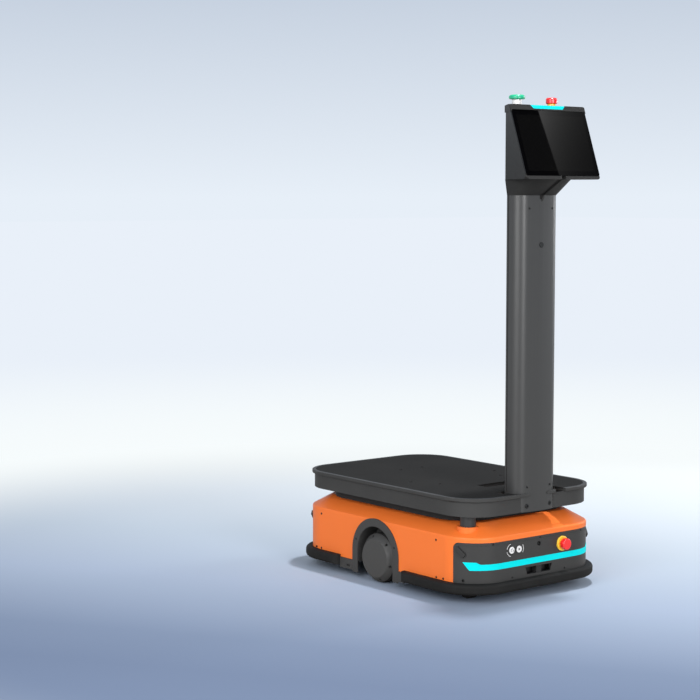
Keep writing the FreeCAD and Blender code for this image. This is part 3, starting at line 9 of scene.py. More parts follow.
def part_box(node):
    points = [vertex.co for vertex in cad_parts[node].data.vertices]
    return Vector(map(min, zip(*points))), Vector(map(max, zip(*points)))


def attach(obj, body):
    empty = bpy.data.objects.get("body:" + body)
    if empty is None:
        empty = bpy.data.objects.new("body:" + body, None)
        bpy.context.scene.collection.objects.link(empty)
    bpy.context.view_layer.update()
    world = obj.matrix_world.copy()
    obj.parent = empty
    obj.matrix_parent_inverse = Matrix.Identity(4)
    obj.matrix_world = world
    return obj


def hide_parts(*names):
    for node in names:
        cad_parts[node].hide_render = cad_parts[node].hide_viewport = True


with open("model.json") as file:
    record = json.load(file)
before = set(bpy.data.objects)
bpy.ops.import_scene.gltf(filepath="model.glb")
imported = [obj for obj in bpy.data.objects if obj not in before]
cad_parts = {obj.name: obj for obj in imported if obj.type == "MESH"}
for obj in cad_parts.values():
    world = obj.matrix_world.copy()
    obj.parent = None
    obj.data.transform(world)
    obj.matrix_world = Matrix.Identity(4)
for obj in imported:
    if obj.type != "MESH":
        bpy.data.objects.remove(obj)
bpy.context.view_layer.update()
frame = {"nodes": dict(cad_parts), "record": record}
NODES = frame["nodes"]
MM = 0.001


# ---------------------------------------------------------------- shader sockets
class Wire:
    """An output of a shader node. Arithmetic on it adds Math nodes."""

    def __init__(self, shading, socket):
        self.shading = shading
        self.socket = socket

    def worked(self, operation, *values):
        node = self.shading.node("ShaderNodeMath", {"operation": operation}, dict(enumerate(values)))
        return node["Value"]

    def __add__(self, other):
        return self.worked("ADD", self, other)

    def __sub__(self, other):
        return self.worked("SUBTRACT", self, other)

    def __mul__(self, other):
        return self.worked("MULTIPLY", self, other)

    def __truediv__(self, other):
        return self.worked("DIVIDE", self, other)

    def __pow__(self, other):
        return self.worked("POWER", self, other)

    def __gt__(self, other):
        return self.worked("GREATER_THAN", self, other)

    def __lt__(self, other):
        return self.worked("LESS_THAN", self, other)

    def __radd__(self, other):
        return self.worked("ADD", other, self)

    def __rsub__(self, other):
        return self.worked("SUBTRACT", other, self)

    def __rmul__(self, other):
        return self.worked("MULTIPLY", other, self)

    def __rtruediv__(self, other):
        return self.worked("DIVIDE", other, self)

    def __rpow__(self, other):
        return self.worked("POWER", other, self)

    def __abs__(self):
        return self.worked("ABSOLUTE", self)


class Made:
    """A node just added; its outputs are read by name or number."""

    def __init__(self, shading, node):
        self.shading = shading
        self.node = node

    def __getitem__(self, name):
        return Wire(self.shading, self.node.outputs[name])


class Shading:
    """The node tree of a material or of the world."""

    def __init__(self, tree, output):
        self.tree = tree
        self.tree.nodes.clear()
        self.output = self.node(output).node

    def show(self, shader):
        self.feed(self.output.inputs["Surface"], shader)

    def feed(self, target, value):
        if isinstance(value, Wire):
            self.tree.links.new(value.socket, target)
        elif target.type == "RGBA":
            target.default_value = (*value, 1)
        else:
            target.default_value = value

    def node(self, kind, settings=None, inputs=None):
        node = self.tree.nodes.new(kind)
        for name, value in (settings or {}).items():
            if name == "stops":
                set_stops(node.color_ramp, value)
            else:
                setattr(node, name, value)
        for name, value in (inputs or {}).items():
            self.feed(node.inputs[name], value)
        return Made(self, node)

    def shown_rays(self):
        """1 for the rays that show the studio: seen, mirrored or through glass."""
        path = self.node("ShaderNodeLightPath")
        return path["Is Camera Ray"] + path["Is Glossy Ray"] + path["Is Transmission Ray"]


class Finish(Shading):
    """One material, built from a Principled shader."""

    def __init__(self, name, **uniform):
        self.material = bpy.data.materials.new(name)
        self.material.use_nodes = True
        super().__init__(self.material.node_tree, "ShaderNodeOutputMaterial")
        self.shader = self.node("ShaderNodeBsdfPrincipled")
        self.show(self.shader["BSDF"])
        for socket, value in uniform.items():
            self.set(socket.replace("_", " "), value)

    def set(self, socket, value):
        self.feed(self.shader.node.inputs[socket], value)

    def place(self):
        return self.node("ShaderNodeNewGeometry")["Position"]

    def axis(self, letter):
        split = self.node("ShaderNodeSeparateXYZ", inputs={"Vector": self.place()})
        return split[letter]

    def along(self, direction):
        """How far a point lies along a direction from the origin."""
        return self.node("ShaderNodeVectorMath", {"operation": "DOT_PRODUCT"},
                         {0: self.place(), 1: direction})["Value"]

    def noise(self, scale, detail=2.0, stretch=(1, 1, 1)):
        moved = self.node("ShaderNodeMapping", inputs={"Vector": self.place(), "Scale": stretch})
        made = self.node("ShaderNodeTexNoise", inputs={"Vector": moved["Vector"], "Scale": scale,
                                                       "Detail": detail})
        return made["Fac"]

    def grain(self, scale):
        made = self.node("ShaderNodeTexVoronoi", inputs={"Vector": self.place(), "Scale": scale})
        return made["Distance"]

    def mix(self, share, first, second):
        made = self.node("ShaderNodeMix", {"data_type": "RGBA"}, {0: share, 6: first, 7: second})
        return made[2]

    def smoothed(self, value, low, high):
        made = self.node("ShaderNodeMapRange", {"interpolation_type": "SMOOTHSTEP"},
                         {"Value": value, "From Min": low, "From Max": high})
        return made["Result"]

    def uneven(self, roughness, pattern, spread):
        """Roughness that varies a little round one level."""
        self.set("Roughness", roughness + (pattern - 0.5) * spread)

    def bump(self, height, strength, distance):
        made = self.node("ShaderNodeBump", inputs={"Height": height, "Strength": strength,
                                                   "Distance": distance})
        self.set("Normal", made["Normal"])


def set_stops(ramp, stops):
    while len(ramp.elements) < len(stops):
        ramp.elements.new(0.5)
    for element, (position, colour) in zip(ramp.elements, stops):
        element.position = position
        element.color = (*colour, 1)


def srgb(red, green, blue):
    """Linear colour from the usual 0-255 values."""
    steps = (red / 255, green / 255, blue / 255)
    return tuple(c / 12.92 if c <= 0.04045 else ((c + 0.055) / 1.055) ** 2.4 for c in steps)


def toned(colour, factor, lift=0.0):
    """A darker or lighter colour of the same hue."""
    return tuple(min(1, part * factor + lift) for part in colour)


# ---------------------------------------------------------------- finishes
def powder_coat(name, colour, roughness, peel=0.12, shade=0.06, sheen=0.35):
    """Baked powder paint: fine orange peel and slight cloudiness."""
    finish = Finish(name, Specular_IOR_Level=sheen)
    cloud = finish.noise(scale=9, detail=3)
    finish.set("Base Color", finish.mix(cloud, toned(colour, 1 - shade), colour))
    finish.uneven(roughness, finish.noise(scale=55, detail=3), spread=0.12)
    finish.bump(finish.noise(scale=900), strength=peel, distance=0.2 * MM)
    return finish.material


def textured_black(name, colour, roughness=0.7, sheen=0.15):
    """Wrinkle-textured black paint on sheet metal."""
    finish = Finish(name, Specular_IOR_Level=sheen)
    speck = finish.noise(scale=1400)
    cloud = finish.noise(scale=6, detail=4)
    wrinkle = finish.smoothed(speck * 0.5 + cloud * 0.5, 0.35, 0.65)
    finish.set("Base Color", finish.mix(wrinkle, toned(colour, 0.88), toned(colour, 1.12)))
    finish.uneven(roughness, cloud, spread=0.15)
    finish.bump(speck, strength=0.25, distance=0.2 * MM)
    return finish.material


def moulded_plastic(name, colour, roughness=0.5, texture=0.15, sheen=0.25):
    """Spark-eroded matt moulding."""
    finish = Finish(name, Specular_IOR_Level=sheen)
    cloud = finish.noise(scale=14, detail=3)
    finish.set("Base Color", finish.mix(cloud, toned(colour, 0.93), toned(colour, 1.07)))
    finish.uneven(roughness, finish.noise(scale=120), spread=0.1)
    finish.bump(finish.grain(scale=1600), strength=texture, distance=0.15 * MM)
    return finish.material


def gloss_plastic(name, colour, roughness=0.25, coat=0.3):
    """Polished moulding of buttons, rings and keys."""
    finish = Finish(name, Coat_Weight=coat, Coat_Roughness=0.1)
    cloud = finish.noise(scale=30)
    finish.set("Base Color", finish.mix(cloud, toned(colour, 0.95), colour))
    finish.uneven(roughness, finish.noise(scale=90), spread=0.08)
    return finish.material


def soft_rubber(name, colour, roughness=0.7, sheen=0.2):
    """Rubber with a little dust on it."""
    finish = Finish(name, Specular_IOR_Level=sheen)
    dust = finish.smoothed(finish.noise(scale=18, detail=5), 0.45, 0.8)
    finish.set("Base Color", finish.mix(dust * 0.35, colour, toned(colour, 1.8, lift=0.004)))
    finish.uneven(roughness, finish.noise(scale=70, detail=3), spread=0.2)
    finish.bump(finish.noise(scale=700, detail=3), strength=0.15, distance=0.3 * MM)
    return finish.material


def sensor_face(node):
    """Black windows either side of a grey middle tab."""
    finish = Finish(node + "_face", Roughness=0.3, Specular_IOR_Level=0.3)
    low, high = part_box(node)
    middle, half = (low[0] + high[0]) / 2, (high[0] - low[0]) / 2
    tab, edge = half * 0.2, half * 0.92
    away = abs(finish.axis("X") - middle)
    window = (away > tab) * (away < edge)
    finish.set("Base Color", finish.mix(window, srgb(40, 40, 41), srgb(5, 5, 6)))
    return finish.material


def turned_metal(name, colour, roughness=0.35):
    """Bare metal with fine lines from the tool."""
    finish = Finish(name, Metallic=1.0)
    line = finish.noise(scale=30, detail=4, stretch=(1, 1, 60))
    finish.set("Base Color", finish.mix(line, toned(colour, 0.85), toned(colour, 1.1)))
    finish.uneven(roughness, line, spread=0.2)
    finish.bump(line, strength=0.05, distance=0.1 * MM)
    return finish.material


def anodised(name, colour, roughness=0.42):
    """Dark anodised extrusion with faint draw lines along its length."""
    finish = Finish(name, Metallic=0.3, Specular_IOR_Level=0.4)
    line = finish.noise(scale=160, detail=3, stretch=(1, 1, 0.01))
    cloud = finish.noise(scale=5)
    streak = line * 0.6 + cloud * 0.4
    finish.set("Base Color", finish.mix(streak, toned(colour, 0.92), toned(colour, 1.08)))
    finish.uneven(roughness, line, spread=0.08)
    finish.bump(line, strength=0.03, distance=0.1 * MM)
    return finish.material


def lit_diffuser(name, colour, strength):
    """Milky light guide, lit from inside."""
    finish = Finish(name, Roughness=0.5, Specular_IOR_Level=0.1, Emission_Strength=strength)
    band = finish.noise(scale=25)
    finish.set("Base Color", finish.mix(band, toned(colour, 0.9), colour))
    finish.set("Emission Color", finish.mix(band, toned(colour, 0.96), colour))
    return finish.material


GLASS_LOW, GLASS_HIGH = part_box("screen_glass")


def cover_glass(name):
    """Black display glass: a slightly lighter active area inside its dark border."""
    finish = Finish(name, Roughness=0.02, Specular_IOR_Level=0.45)
    border_tall, border_wide = 0.075, 0.1
    up = (finish.axis("Z") - GLASS_LOW[2]) / (GLASS_HIGH[2] - GLASS_LOW[2])
    across = abs(finish.axis("X")) / GLASS_HIGH[0]
    inside = (up > border_tall) * (up < 1 - border_tall) * (across < 1 - border_wide)
    active = finish.mix(finish.noise(scale=8), srgb(8, 8, 9), srgb(12, 12, 12))
    finish.set("Base Color", finish.mix(inside, srgb(5, 5, 6), active))
    return finish.material


ORANGE = powder_coat("orange_paint", srgb(246, 122, 50), 0.42, peel=0.10)
# Painted shade: the deck top is the same black paint as the tray, given a darker colour to stand for
# the shade on its top.
DECK_SHADED_BLACK = textured_black("deck_paint_painted_shade", srgb(44, 44, 44), 0.85, sheen=0.02)
TRAY_BLACK = textured_black("tray_paint", srgb(62, 62, 62), 0.55)
FRAME_BLACK = textured_black("frame_paint", srgb(40, 40, 40), 0.65)
COLUMN_GREY = anodised("column_anodised", srgb(66, 66, 66), 0.36)
HEAD_GREY = moulded_plastic("head_moulding", srgb(43, 43, 43), 0.6, sheen=0.12)
PANEL_BLACK = moulded_plastic("panel_moulding", srgb(58, 58, 58), 0.42)
ARCH_GREY = moulded_plastic("arch_moulding", srgb(64, 64, 64), 0.55)
CAP_GREY = moulded_plastic("hub_cap_moulding", srgb(70, 70, 70))
CORNER = moulded_plastic("corner_cover", srgb(48, 48, 48), 0.4)
CAMERA_FACE = sensor_face("depth_camera")
LENS = moulded_plastic("camera_window", srgb(6, 6, 7), 0.25, texture=0.0, sheen=0.35)
SCREW = moulded_plastic("black_screws", srgb(14, 14, 14), 0.45, texture=0.0, sheen=0.4)
CASE = moulded_plastic("battery_case", srgb(70, 76, 88))
PRINT = moulded_plastic("white_print", srgb(214, 214, 216), 0.6)
INK = moulded_plastic("dark_print", srgb(60, 62, 66), 0.6)
BUMPER = soft_rubber("bumper_rubber", srgb(29, 29, 29), sheen=0.15)
BOOT = soft_rubber("boot_rubber", srgb(40, 40, 41), 0.4, sheen=0.5)
TYRE = soft_rubber("tyre_rubber", srgb(34, 34, 34), 0.75)
STEEL = turned_metal("zinc_steel", srgb(170, 172, 175))
MACHINED = turned_metal("machined_metal", srgb(150, 151, 153), 0.38)
BRASS = turned_metal("contact_metal", srgb(214, 170, 110), 0.3)
CYAN = lit_diffuser("cyan_diffuser", srgb(0, 205, 212), 0.3)
RED = gloss_plastic("red_plastic", srgb(244, 40, 42), 0.3)
YELLOW = gloss_plastic("yellow_plastic", srgb(250, 200, 60), 0.35)
GREEN = gloss_plastic("green_plastic", srgb(14, 178, 132), 0.35)
WHITE = gloss_plastic("white_plastic", srgb(232, 232, 234), 0.35)
GLASS = cover_glass("display_glass")

SLOT_FINISH = {
    "body_paint": ORANGE, "black_paint": FRAME_BLACK, "black_plastic": PANEL_BLACK,
    "grey_plastic": ARCH_GREY, "bumper_rubber": BUMPER, "steel": STEEL, "screw_black": SCREW,
    "anodised": COLUMN_GREY, "wheel_metal": MACHINED, "tyre_rubber": TYRE, "light_cyan": CYAN,
    "display_glass": GLASS, "red_button": RED, "yellow_ring": YELLOW, "green_button": GREEN,
    "white_plastic": WHITE, "copper": BRASS, "cell_case": CASE,
}
NODE_FINISH = {
    "deck_plate": DECK_SHADED_BLACK, "deck_tray": TRAY_BLACK, "head_housing": HEAD_GREY,
    "head_cap": HEAD_GREY, "post_boots": BOOT, "left_hub_cap": CAP_GREY, "right_hub_cap": CAP_GREY,
    "depth_camera": CAMERA_FACE, "corner_sensors": CORNER, "front_camera": LENS,
}


def dress_nodes():
    slots = {entry["node"]: entry["material_slot"] for entry in frame["record"]["subparts"]}
    for name, thing in NODES.items():
        finish = NODE_FINISH.get(name, SLOT_FINISH[slots[name]])
        for place in thing.material_slots:
            place.material = finish
        if not thing.material_slots:
            thing.data.materials.append(finish)


# ---------------------------------------------------------------- meshes of small pieces
SHARP = math.radians(35)


class Form:
    """A mesh under construction, made of turned shapes and flat prints."""

    def __init__(self):
        self.mesh = bmesh.new()

    def loop(self, place, count, radius, height):
        """A ring of points round the Z axis of a frame."""
        angles = [math.tau * step / count for step in range(count)]
        corners = [(radius * math.cos(angle), radius * math.sin(angle), height) for angle in angles]
        return [self.mesh.verts.new(place @ Vector(corner)) for corner in corners]

    def turned(self, place, rings):
        """Stacks rings of (points, radius, height) and closes both ends."""
        loops = [self.loop(place, *ring) for ring in rings]
        self.mesh.faces.new(list(reversed(loops[0])))
        for lower, upper in zip(loops, loops[1:]):
            self.bridge(lower, upper)
        self.mesh.faces.new(loops[-1])

    def bridge(self, lower, upper):
        """Joins two rings; a ring with fewer points takes several sides to each of its own."""
        many, few = max(len(lower), len(upper)), min(len(lower), len(upper))
        step = many // few
        for i in range(many):
            j = (i + 1) % many
            if many == few:
                self.mesh.faces.new((lower[i], lower[j], upper[j], upper[i]))
                continue
            big, small = (lower, upper) if len(lower) > len(upper) else (upper, lower)
            near = ((i + step // 2) // step) % few
            after = ((j + step // 2) // step) % few
            corners = [big[i], big[j], small[after]]
            if near != after:
                corners.append(small[near])
            if big is upper:
                corners.reverse()
            self.mesh.faces.new(corners)

    def printed(self, place, outline, depth):
        """A thin raised print with a flat outline."""
        top = [self.mesh.verts.new(place @ Vector((x, y, depth))) for x, y in outline]
        foot = [self.mesh.verts.new(place @ Vector((x, y, 0))) for x, y in outline]
        self.mesh.faces.new(top)
        self.mesh.faces.new(list(reversed(foot)))
        count = len(outline)
        for i in range(count):
            j = (i + 1) % count
            self.mesh.faces.new((foot[i], foot[j], top[j], top[i]))

    def piece(self, name, finish, body, smooth=True):
        bmesh.ops.recalc_face_normals(self.mesh, faces=self.mesh.faces)
        mesh = bpy.data.meshes.new(name)
        self.mesh.to_mesh(mesh)
        self.mesh.free()
        thing = bpy.data.objects.new(name, mesh)
        bpy.context.collection.objects.link(thing)
        mesh.materials.append(finish)
        if smooth:
            mesh.shade_smooth()
            edge = thing.modifiers.new("edges", "EDGE_SPLIT")
            edge.split_angle = SHARP
        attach(thing, body)
        return thing


def looking(point, direction):
    """A frame at a point whose Z looks along a direction."""
    turn = Vector(direction).to_track_quat("Z", "Y").to_matrix().to_4x4()
    return Matrix.Translation(point) @ turn


def upright(point):
    """A frame on a face that looks to the front: X to the right, Y up, Z outward."""
    turn = Matrix(((1, 0, 0), (0, 0, -1), (0, 1, 0))).to_4x4()
    return Matrix.Translation(point) @ turn


def middle_of(box):
    low, high = box
    return (Vector(low) + Vector(high)) / 2


# ---------------------------------------------------------------- screws and bolts
WELD = 0.001 * MM
HEAD_POINTS = 24
HEAD_PROUD = 0.6 * MM
HEAD_SKIRT = 3 * MM
SOCKET_DEEP = 1.2 * MM

CAP_BOLTS = 6
CAP_BOLT_RADIUS = 3 * MM
CAP_BOLT_CIRCLE = 56.5 * MM
CAP_BOLT_OUT = 6.6 * MM
CAP_BOLT_TURN = math.radians(15)


def socket_head(form, place, radius):
    """A domed screw head with a hexagon socket; its top is at the frame's origin."""
    form.turned(place, [
        (HEAD_POINTS, radius, -HEAD_PROUD - HEAD_SKIRT),
        (HEAD_POINTS, radius, -HEAD_PROUD * 0.7),
        (HEAD_POINTS, radius * 0.88, -HEAD_PROUD * 0.2),
        (HEAD_POINTS, radius * 0.62, 0),
        (6, radius * 0.46, 0),
        (6, radius * 0.42, -HEAD_PROUD - SOCKET_DEEP)])


def number(element):
    """The place of a face or corner in its mesh, so that each run goes in the same order."""
    return element.index


def linked_faces(first):
    """All faces of the solid that a face belongs to."""
    solid, waiting = set(), [first]
    while waiting:
        face = waiting.pop()
        if face not in solid:
            solid.add(face)
            waiting.extend(other for edge in face.edges for other in edge.link_faces)
    return solid


def pins(node):
    """The top, outward axis and radius of each screw in a node, from its flat end."""
    middle_y = middle_of(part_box("body_cover")).y
    form = bmesh.new()
    form.from_mesh(NODES[node].data)
    bmesh.ops.remove_doubles(form, verts=form.verts, dist=WELD)
    form.verts.index_update()
    form.faces.index_update()
    left = set(form.faces)
    while left:
        solid = linked_faces(min(left, key=number))
        left -= solid
        corners = sorted({vertex for face in solid for vertex in face.verts}, key=number)
        spots = [vertex.co for vertex in corners]
        centre = sum(spots, Vector()) / len(spots)
        facing = {}
        for face in sorted(solid, key=number):
            key = tuple(round(abs(part), 2) for part in face.normal)
            facing.setdefault(key, []).append(face)
        flat = max(facing.values(), key=lambda faces: sum(face.calc_area() for face in faces))
        axis = flat[0].normal.copy()
        if axis.dot(Vector((centre.x, centre.y - middle_y, 0))) < 0:
            axis.negate()
        reach = max((spot - centre).dot(axis) for spot in spots)
        radius = max(((spot - centre) - axis * (spot - centre).dot(axis)).length for spot in spots)
        yield centre + axis * reach, axis, radius
    form.free()


def build_screws():
    for node in ("body_screws", "foot_screws"):
        form = Form()
        for top, axis, radius in pins(node):
            socket_head(form, looking(top, axis), radius)
        thing = form.piece(node + "_heads", SCREW, "base")
        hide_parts(node)


def build_cap_bolts():
    """Socket bolts in the sloping edge of each hub cap."""
    for side, sign in (("left", -1), ("right", 1)):
        low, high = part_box(side + "_hub_cap")
        middle = middle_of((low, high))
        inner = high[0] if sign < 0 else low[0]
        form = Form()
        for index in range(CAP_BOLTS):
            angle = math.tau * index / CAP_BOLTS + CAP_BOLT_TURN
            spot = Vector((inner + sign * CAP_BOLT_OUT, middle.y + CAP_BOLT_CIRCLE * math.cos(angle),
                           middle.z + CAP_BOLT_CIRCLE * math.sin(angle)))
            socket_head(form, looking(spot, (sign, 0, 0)), CAP_BOLT_RADIUS)
        form.piece(side + "_cap_bolts", SCREW, side + "_wheel")


# ---------------------------------------------------------------- printed marks
ARC_THICK = 0.12 * MM
ARC_WIDE = 1.5 * MM
RESET_ARC, RESET_SPANS = 15.4 * MM, ((100, 168), (192, 262))
START_ARC, START_SPANS = 16.6 * MM, ((-36, 36),)

RING_THICK = 0.15 * MM
RING_RADIUS = 4.9 * MM
RING_WIDE = 1.8 * MM

SIGN_THICK = 0.1 * MM
TRIANGLE = [(-2.6 * MM, -3.4 * MM), (3.8 * MM, 0), (-2.6 * MM, 3.4 * MM)]
TURN_RADIUS, TURN_WIDE, TURN_SPAN = 3.6 * MM, 1.3 * MM, (-20, 250)
ARROW_TIP = [(1.4 * MM, -1.2 * MM), (5.6 * MM, -1.2 * MM), (3.5 * MM, -4.0 * MM)]


def arc_outline(radius, wide, start, stop, steps=24):
    angles = [math.radians(start + (stop - start) * i / steps) for i in range(steps + 1)]
    outer = [((radius + wide / 2) * math.cos(a), (radius + wide / 2) * math.sin(a)) for a in angles]
    inner = [((radius - wide / 2) * math.cos(a), (radius - wide / 2) * math.sin(a)) for a in angles]
    return outer + inner[::-1]


def build_key_arcs():
    """Plain arcs on the panel round the two push keys."""
    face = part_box("front_panel")[0][1]
    form = Form()
    for node, radius, spans in (("reset_button", RESET_ARC, RESET_SPANS),
                                ("start_button", START_ARC, START_SPANS)):
        middle = middle_of(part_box(node))
        for start, stop in spans:
            form.printed(upright((middle.x, face, middle.z)),
                         arc_outline(radius, ARC_WIDE, start, stop), ARC_THICK)
    form.piece("key_arcs", PRINT, "base", smooth=False)


def build_lens_ring():
    """A dark ring on the face of the front camera, in two halves."""
    low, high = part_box("front_camera")
    middle = middle_of((low, high))
    form = Form()
    for start in (0, 180):
        form.printed(upright((middle.x, low[1], middle.z)),
                     arc_outline(RING_RADIUS, RING_WIDE, start, start + 180), RING_THICK)
    form.piece("lens_ring", LENS, "base", smooth=False)


def build_key_signs():
    """A turning arrow on the reset key and a triangle on the start key."""
    turning = arc_outline(TURN_RADIUS, TURN_WIDE, *TURN_SPAN)
    for node, body, outlines in (("reset_button", "reset_key", (turning, ARROW_TIP)),
                                 ("start_button", "start_key", (TRIANGLE,))):
        low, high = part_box(node)
        middle = middle_of((low, high))
        form = Form()
        for outline in outlines:
            form.printed(upright((middle.x, low[1], middle.z)), outline, SIGN_THICK)
        form.piece(node + "_sign", INK, body, smooth=False)


# ---------------------------------------------------------------- studio
CAMERA_PLACE = (-3.0812, -3.4122, 1.0015)
CAMERA_DIP = math.radians(5.01)
CAMERA_YAW = math.radians(38.65)
CAMERA_LENS = 89.87
SENSOR_WIDE = 36

WORLD_LIGHT = 0.36
HORIZON = srgb(231, 239, 248)
SKY_TOP = srgb(196, 207, 222)
SKY_TURN = 0.12

FLOOR_HALF = 60
FLOOR_GAP = 0.5 * MM
FLOOR_GREY = srgb(172, 172, 172)
BEHIND = Vector((0.6245, 0.781, 0))
RIGHT = Vector((BEHIND.y, -BEHIND.x, 0))
# Painted light falloff on the floor: its colour darkens from white to deeper blue towards the front.
FLOOR_START, FLOOR_SPAN = -1.15, 3.2
FLOOR_SLANT = 0.33
FLOOR_PAINTED_FALLOFF = [
    (0.0, srgb(106, 121, 147)), (0.09, srgb(116, 131, 156)), (0.28, srgb(158, 172, 194)),
    (0.47, srgb(184, 197, 212)), (0.73, srgb(220, 229, 238)), (1.0, srgb(246, 251, 252))]
GLOW_NEAR, GLOW_FAR = srgb(247, 252, 253), srgb(233, 240, 249)
GLOW_BEGINS, GLOW_FULL = 1.35, 2.6
GLOW_TURNS, GLOW_TURNED = 2.2, 7.0

CARD_HALF = 0.45
CARD_AWAY = 1.2
CARD_LIGHT = 1.15
CARD_EDGE_TOP, CARD_EDGE_FOOT = 0.36, 0.44
CARD_FADE, CARD_FADE_ASIDE, CARD_FADE_DOWN = 0.2, 7.0, 4.6


def sheet(name, half, finish):
    """A flat square of the studio."""
    mesh = bpy.data.meshes.new(name)
    form = bmesh.new()
    bmesh.ops.create_grid(form, x_segments=1, y_segments=1, size=half)
    form.to_mesh(mesh)
    form.free()
    mesh.materials.append(finish)
    thing = bpy.data.objects.new(name, mesh)
    bpy.context.collection.objects.link(thing)
    return thing


def floor_finish():
    """Pale floor with painted light falloff: deeper, darker blue in front, white round about, and
    the sky's pale tone farther off.
    """
    finish = Finish("floor_paint", Roughness=0.7, Specular_IOR_Level=0.1)
    depth = finish.along(BEHIND) + finish.along(RIGHT) * FLOOR_SLANT - FLOOR_START
    # Painted shade: the floor seen by the camera darkens towards the front, standing in for light
    # that falls off there.
    ramp = finish.node("ShaderNodeValToRGB", {"stops": FLOOR_PAINTED_FALLOFF}, {"Fac": depth / FLOOR_SPAN})
    seen = finish.node("ShaderNodeLightPath")["Is Camera Ray"]
    finish.set("Base Color", finish.mix(seen, FLOOR_GREY, ramp["Color"]))
    away = finish.node("ShaderNodeVectorMath", {"operation": "LENGTH"}, {0: finish.place()})["Value"]
    tone = finish.mix(finish.smoothed(away, GLOW_TURNS, GLOW_TURNED), GLOW_NEAR, GLOW_FAR)
    glow = finish.node("ShaderNodeEmission", inputs={"Color": tone, "Strength": 1.0})["Emission"]
    share = finish.smoothed(away, GLOW_BEGINS, GLOW_FULL) * finish.shown_rays()
    blend = finish.node("ShaderNodeMixShader", inputs={0: share, 1: finish.shader["BSDF"], 2: glow})
    finish.show(blend["Shader"])
    return finish.material


def build_floor():
    floor = sheet("studio_floor", FLOOR_HALF, floor_finish())
    floor.location.z = -FLOOR_GAP


def build_world():
    """Even light for the robot; a pale sky for the rays that show the studio."""
    world = bpy.data.worlds.new("studio")
    bpy.context.scene.world = world
    world.use_nodes = True
    sky = Shading(world.node_tree, "ShaderNodeOutputWorld")
    direction = sky.node("ShaderNodeTexCoord")["Generated"]
    up = sky.node("ShaderNodeSeparateXYZ", inputs={0: direction})["Z"]
    stops = [(0.0, HORIZON), (SKY_TURN, SKY_TOP), (1.0, SKY_TOP)]
    tone = sky.node("ShaderNodeValToRGB", {"stops": stops}, {"Fac": up})["Color"]
    lit = sky.node("ShaderNodeBackground", inputs={"Color": (1, 1, 1), "Strength": WORLD_LIGHT})
    shown = sky.node("ShaderNodeBackground", inputs={"Color": tone, "Strength": 1.0})
    blend = sky.node("ShaderNodeMixShader", inputs={
        0: sky.shown_rays(), 1: lit["Background"], 2: shown["Background"]})
    sky.show(blend["Shader"])


def build_camera():
    data = bpy.data.cameras.new("camera")
    data.sensor_width = SENSOR_WIDE
    data.lens = CAMERA_LENS
    thing = bpy.data.objects.new("camera", data)
    thing.location = CAMERA_PLACE
    thing.rotation_euler = Euler((math.pi / 2 - CAMERA_DIP, 0, -CAMERA_YAW))
    bpy.context.collection.objects.link(thing)
    bpy.context.scene.camera = thing


class Mirror:
    """The display's glass as a mirror, seen from the camera."""

    def __init__(self):
        glass = NODES["screen_glass"]
        front = max((face for face in glass.data.polygons if face.normal.y < 0),
                    key=lambda face: face.area)
        self.normal = (glass.matrix_world.to_3x3() @ front.normal).normalized()
        self.slope = Vector((0, -self.normal.z, self.normal.y)).normalized()
        if self.slope.z < 0:
            self.slope.negate()
        middle = glass.matrix_world @ front.center
        drop = (GLASS_LOW[2] - middle.z) / self.slope.z
        self.foot = Vector((GLASS_LOW[0], middle.y, middle.z)) + self.slope * drop
        self.rise = (GLASS_HIGH[2] - GLASS_LOW[2]) / self.slope.z
        self.eye = Vector(CAMERA_PLACE)
        centre, self.toward = self.reflected(0.5, 0.5)
        self.stand = centre + self.toward * CARD_AWAY

    def reflected(self, across, up):
        """A glass point at a share of its width and height, and the ray that leaves it."""
        spot = self.foot + self.slope * (self.rise * up)
        spot.x += (GLASS_HIGH[0] - GLASS_LOW[0]) * across
        ray = (spot - self.eye).normalized()
        return spot, ray - 2 * ray.dot(self.normal) * self.normal

    def shown(self, across, up):
        """The point of the card that the glass shows there."""
        spot, ray = self.reflected(across, up)
        return spot + ray * ((self.stand - spot).dot(self.toward) / ray.dot(self.toward))


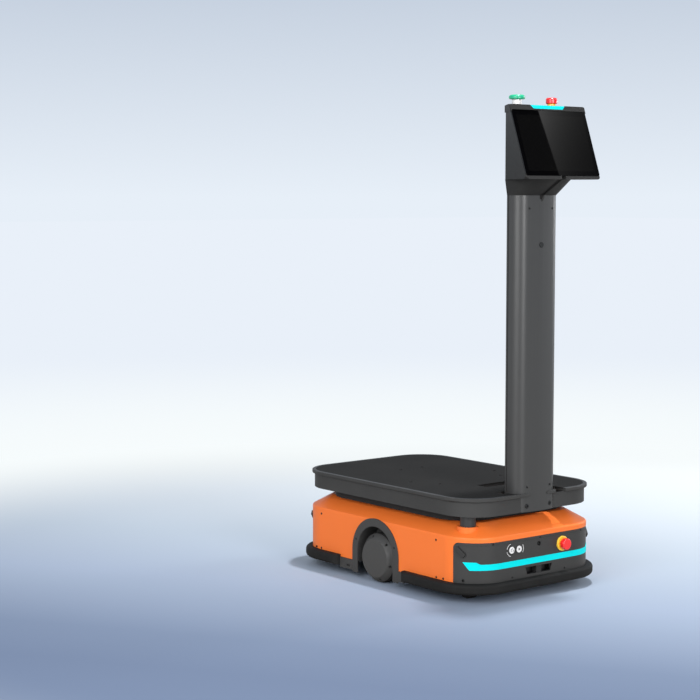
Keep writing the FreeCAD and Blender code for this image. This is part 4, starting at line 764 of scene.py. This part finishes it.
def build_card():
    """A softly lit card for the display to mirror: dark up to a slanted edge, then fading.

    Only reflections show it.
    """
    mirror = Mirror()
    top, foot = mirror.shown(CARD_EDGE_TOP, 1.0), mirror.shown(CARD_EDGE_FOOT, 0.0)
    down = (foot - top).normalized()
    aside = mirror.toward.cross(down).normalized()
    if aside.dot(mirror.shown(1.0, 0.5) - top) < 0:
        aside.negate()
    finish = Finish("card_glow", Roughness=1.0, Specular_IOR_Level=0.0, Emission_Strength=1.0)
    finish.set("Base Color", (0.001, 0.001, 0.001))
    across = finish.along(aside) - top.dot(aside)
    below = finish.along(down) - top.dot(down)
    fade = CARD_FADE ** (across * CARD_FADE_ASIDE + below * CARD_FADE_DOWN)
    level = fade * (across > 0.0) * CARD_LIGHT
    finish.set("Emission Color", finish.mix(level, (0, 0, 0), (1, 1, 1)))
    card = sheet("soft_card", CARD_HALF, finish.material)
    card.matrix_world = looking(mirror.stand, -mirror.toward)
    for ray in ("camera", "diffuse", "shadow", "transmission", "volume_scatter"):
        setattr(card, "visible_" + ray, False)


def lamp(name, place, target, size, power):
    data = bpy.data.lights.new(name, "AREA")
    data.shape = "RECTANGLE"
    data.size, data.size_y = size
    data.energy = power
    thing = bpy.data.objects.new(name, data)
    thing.location = place
    thing.rotation_euler = (Vector(target) - Vector(place)).to_track_quat("-Z", "Y").to_euler()
    bpy.context.collection.objects.link(thing)


dress_nodes()
build_screws()
build_cap_bolts()
build_key_arcs()
build_lens_ring()
build_key_signs()
build_floor()
build_world()
build_camera()
build_card()
lamp("key", place=(-3.7, -1.5, 1.9), target=(0, 0, 0.5), size=(2.6, 2.6), power=115)
lamp("front", place=(-0.9, -4.7, 1.7), target=(0, 0, 0.5), size=(1.6, 2.0), power=115)
lamp("top", place=(0.32, -0.4, 3.8), target=(0, 0.05, 0), size=(0.2, 0.2), power=86)
lamp("side", place=(3.6, -0.7, 1.7), target=(0, 0, 0.7), size=(0.8, 2.0), power=40)
view = bpy.context.scene.view_settings
view.view_transform = "Standard"
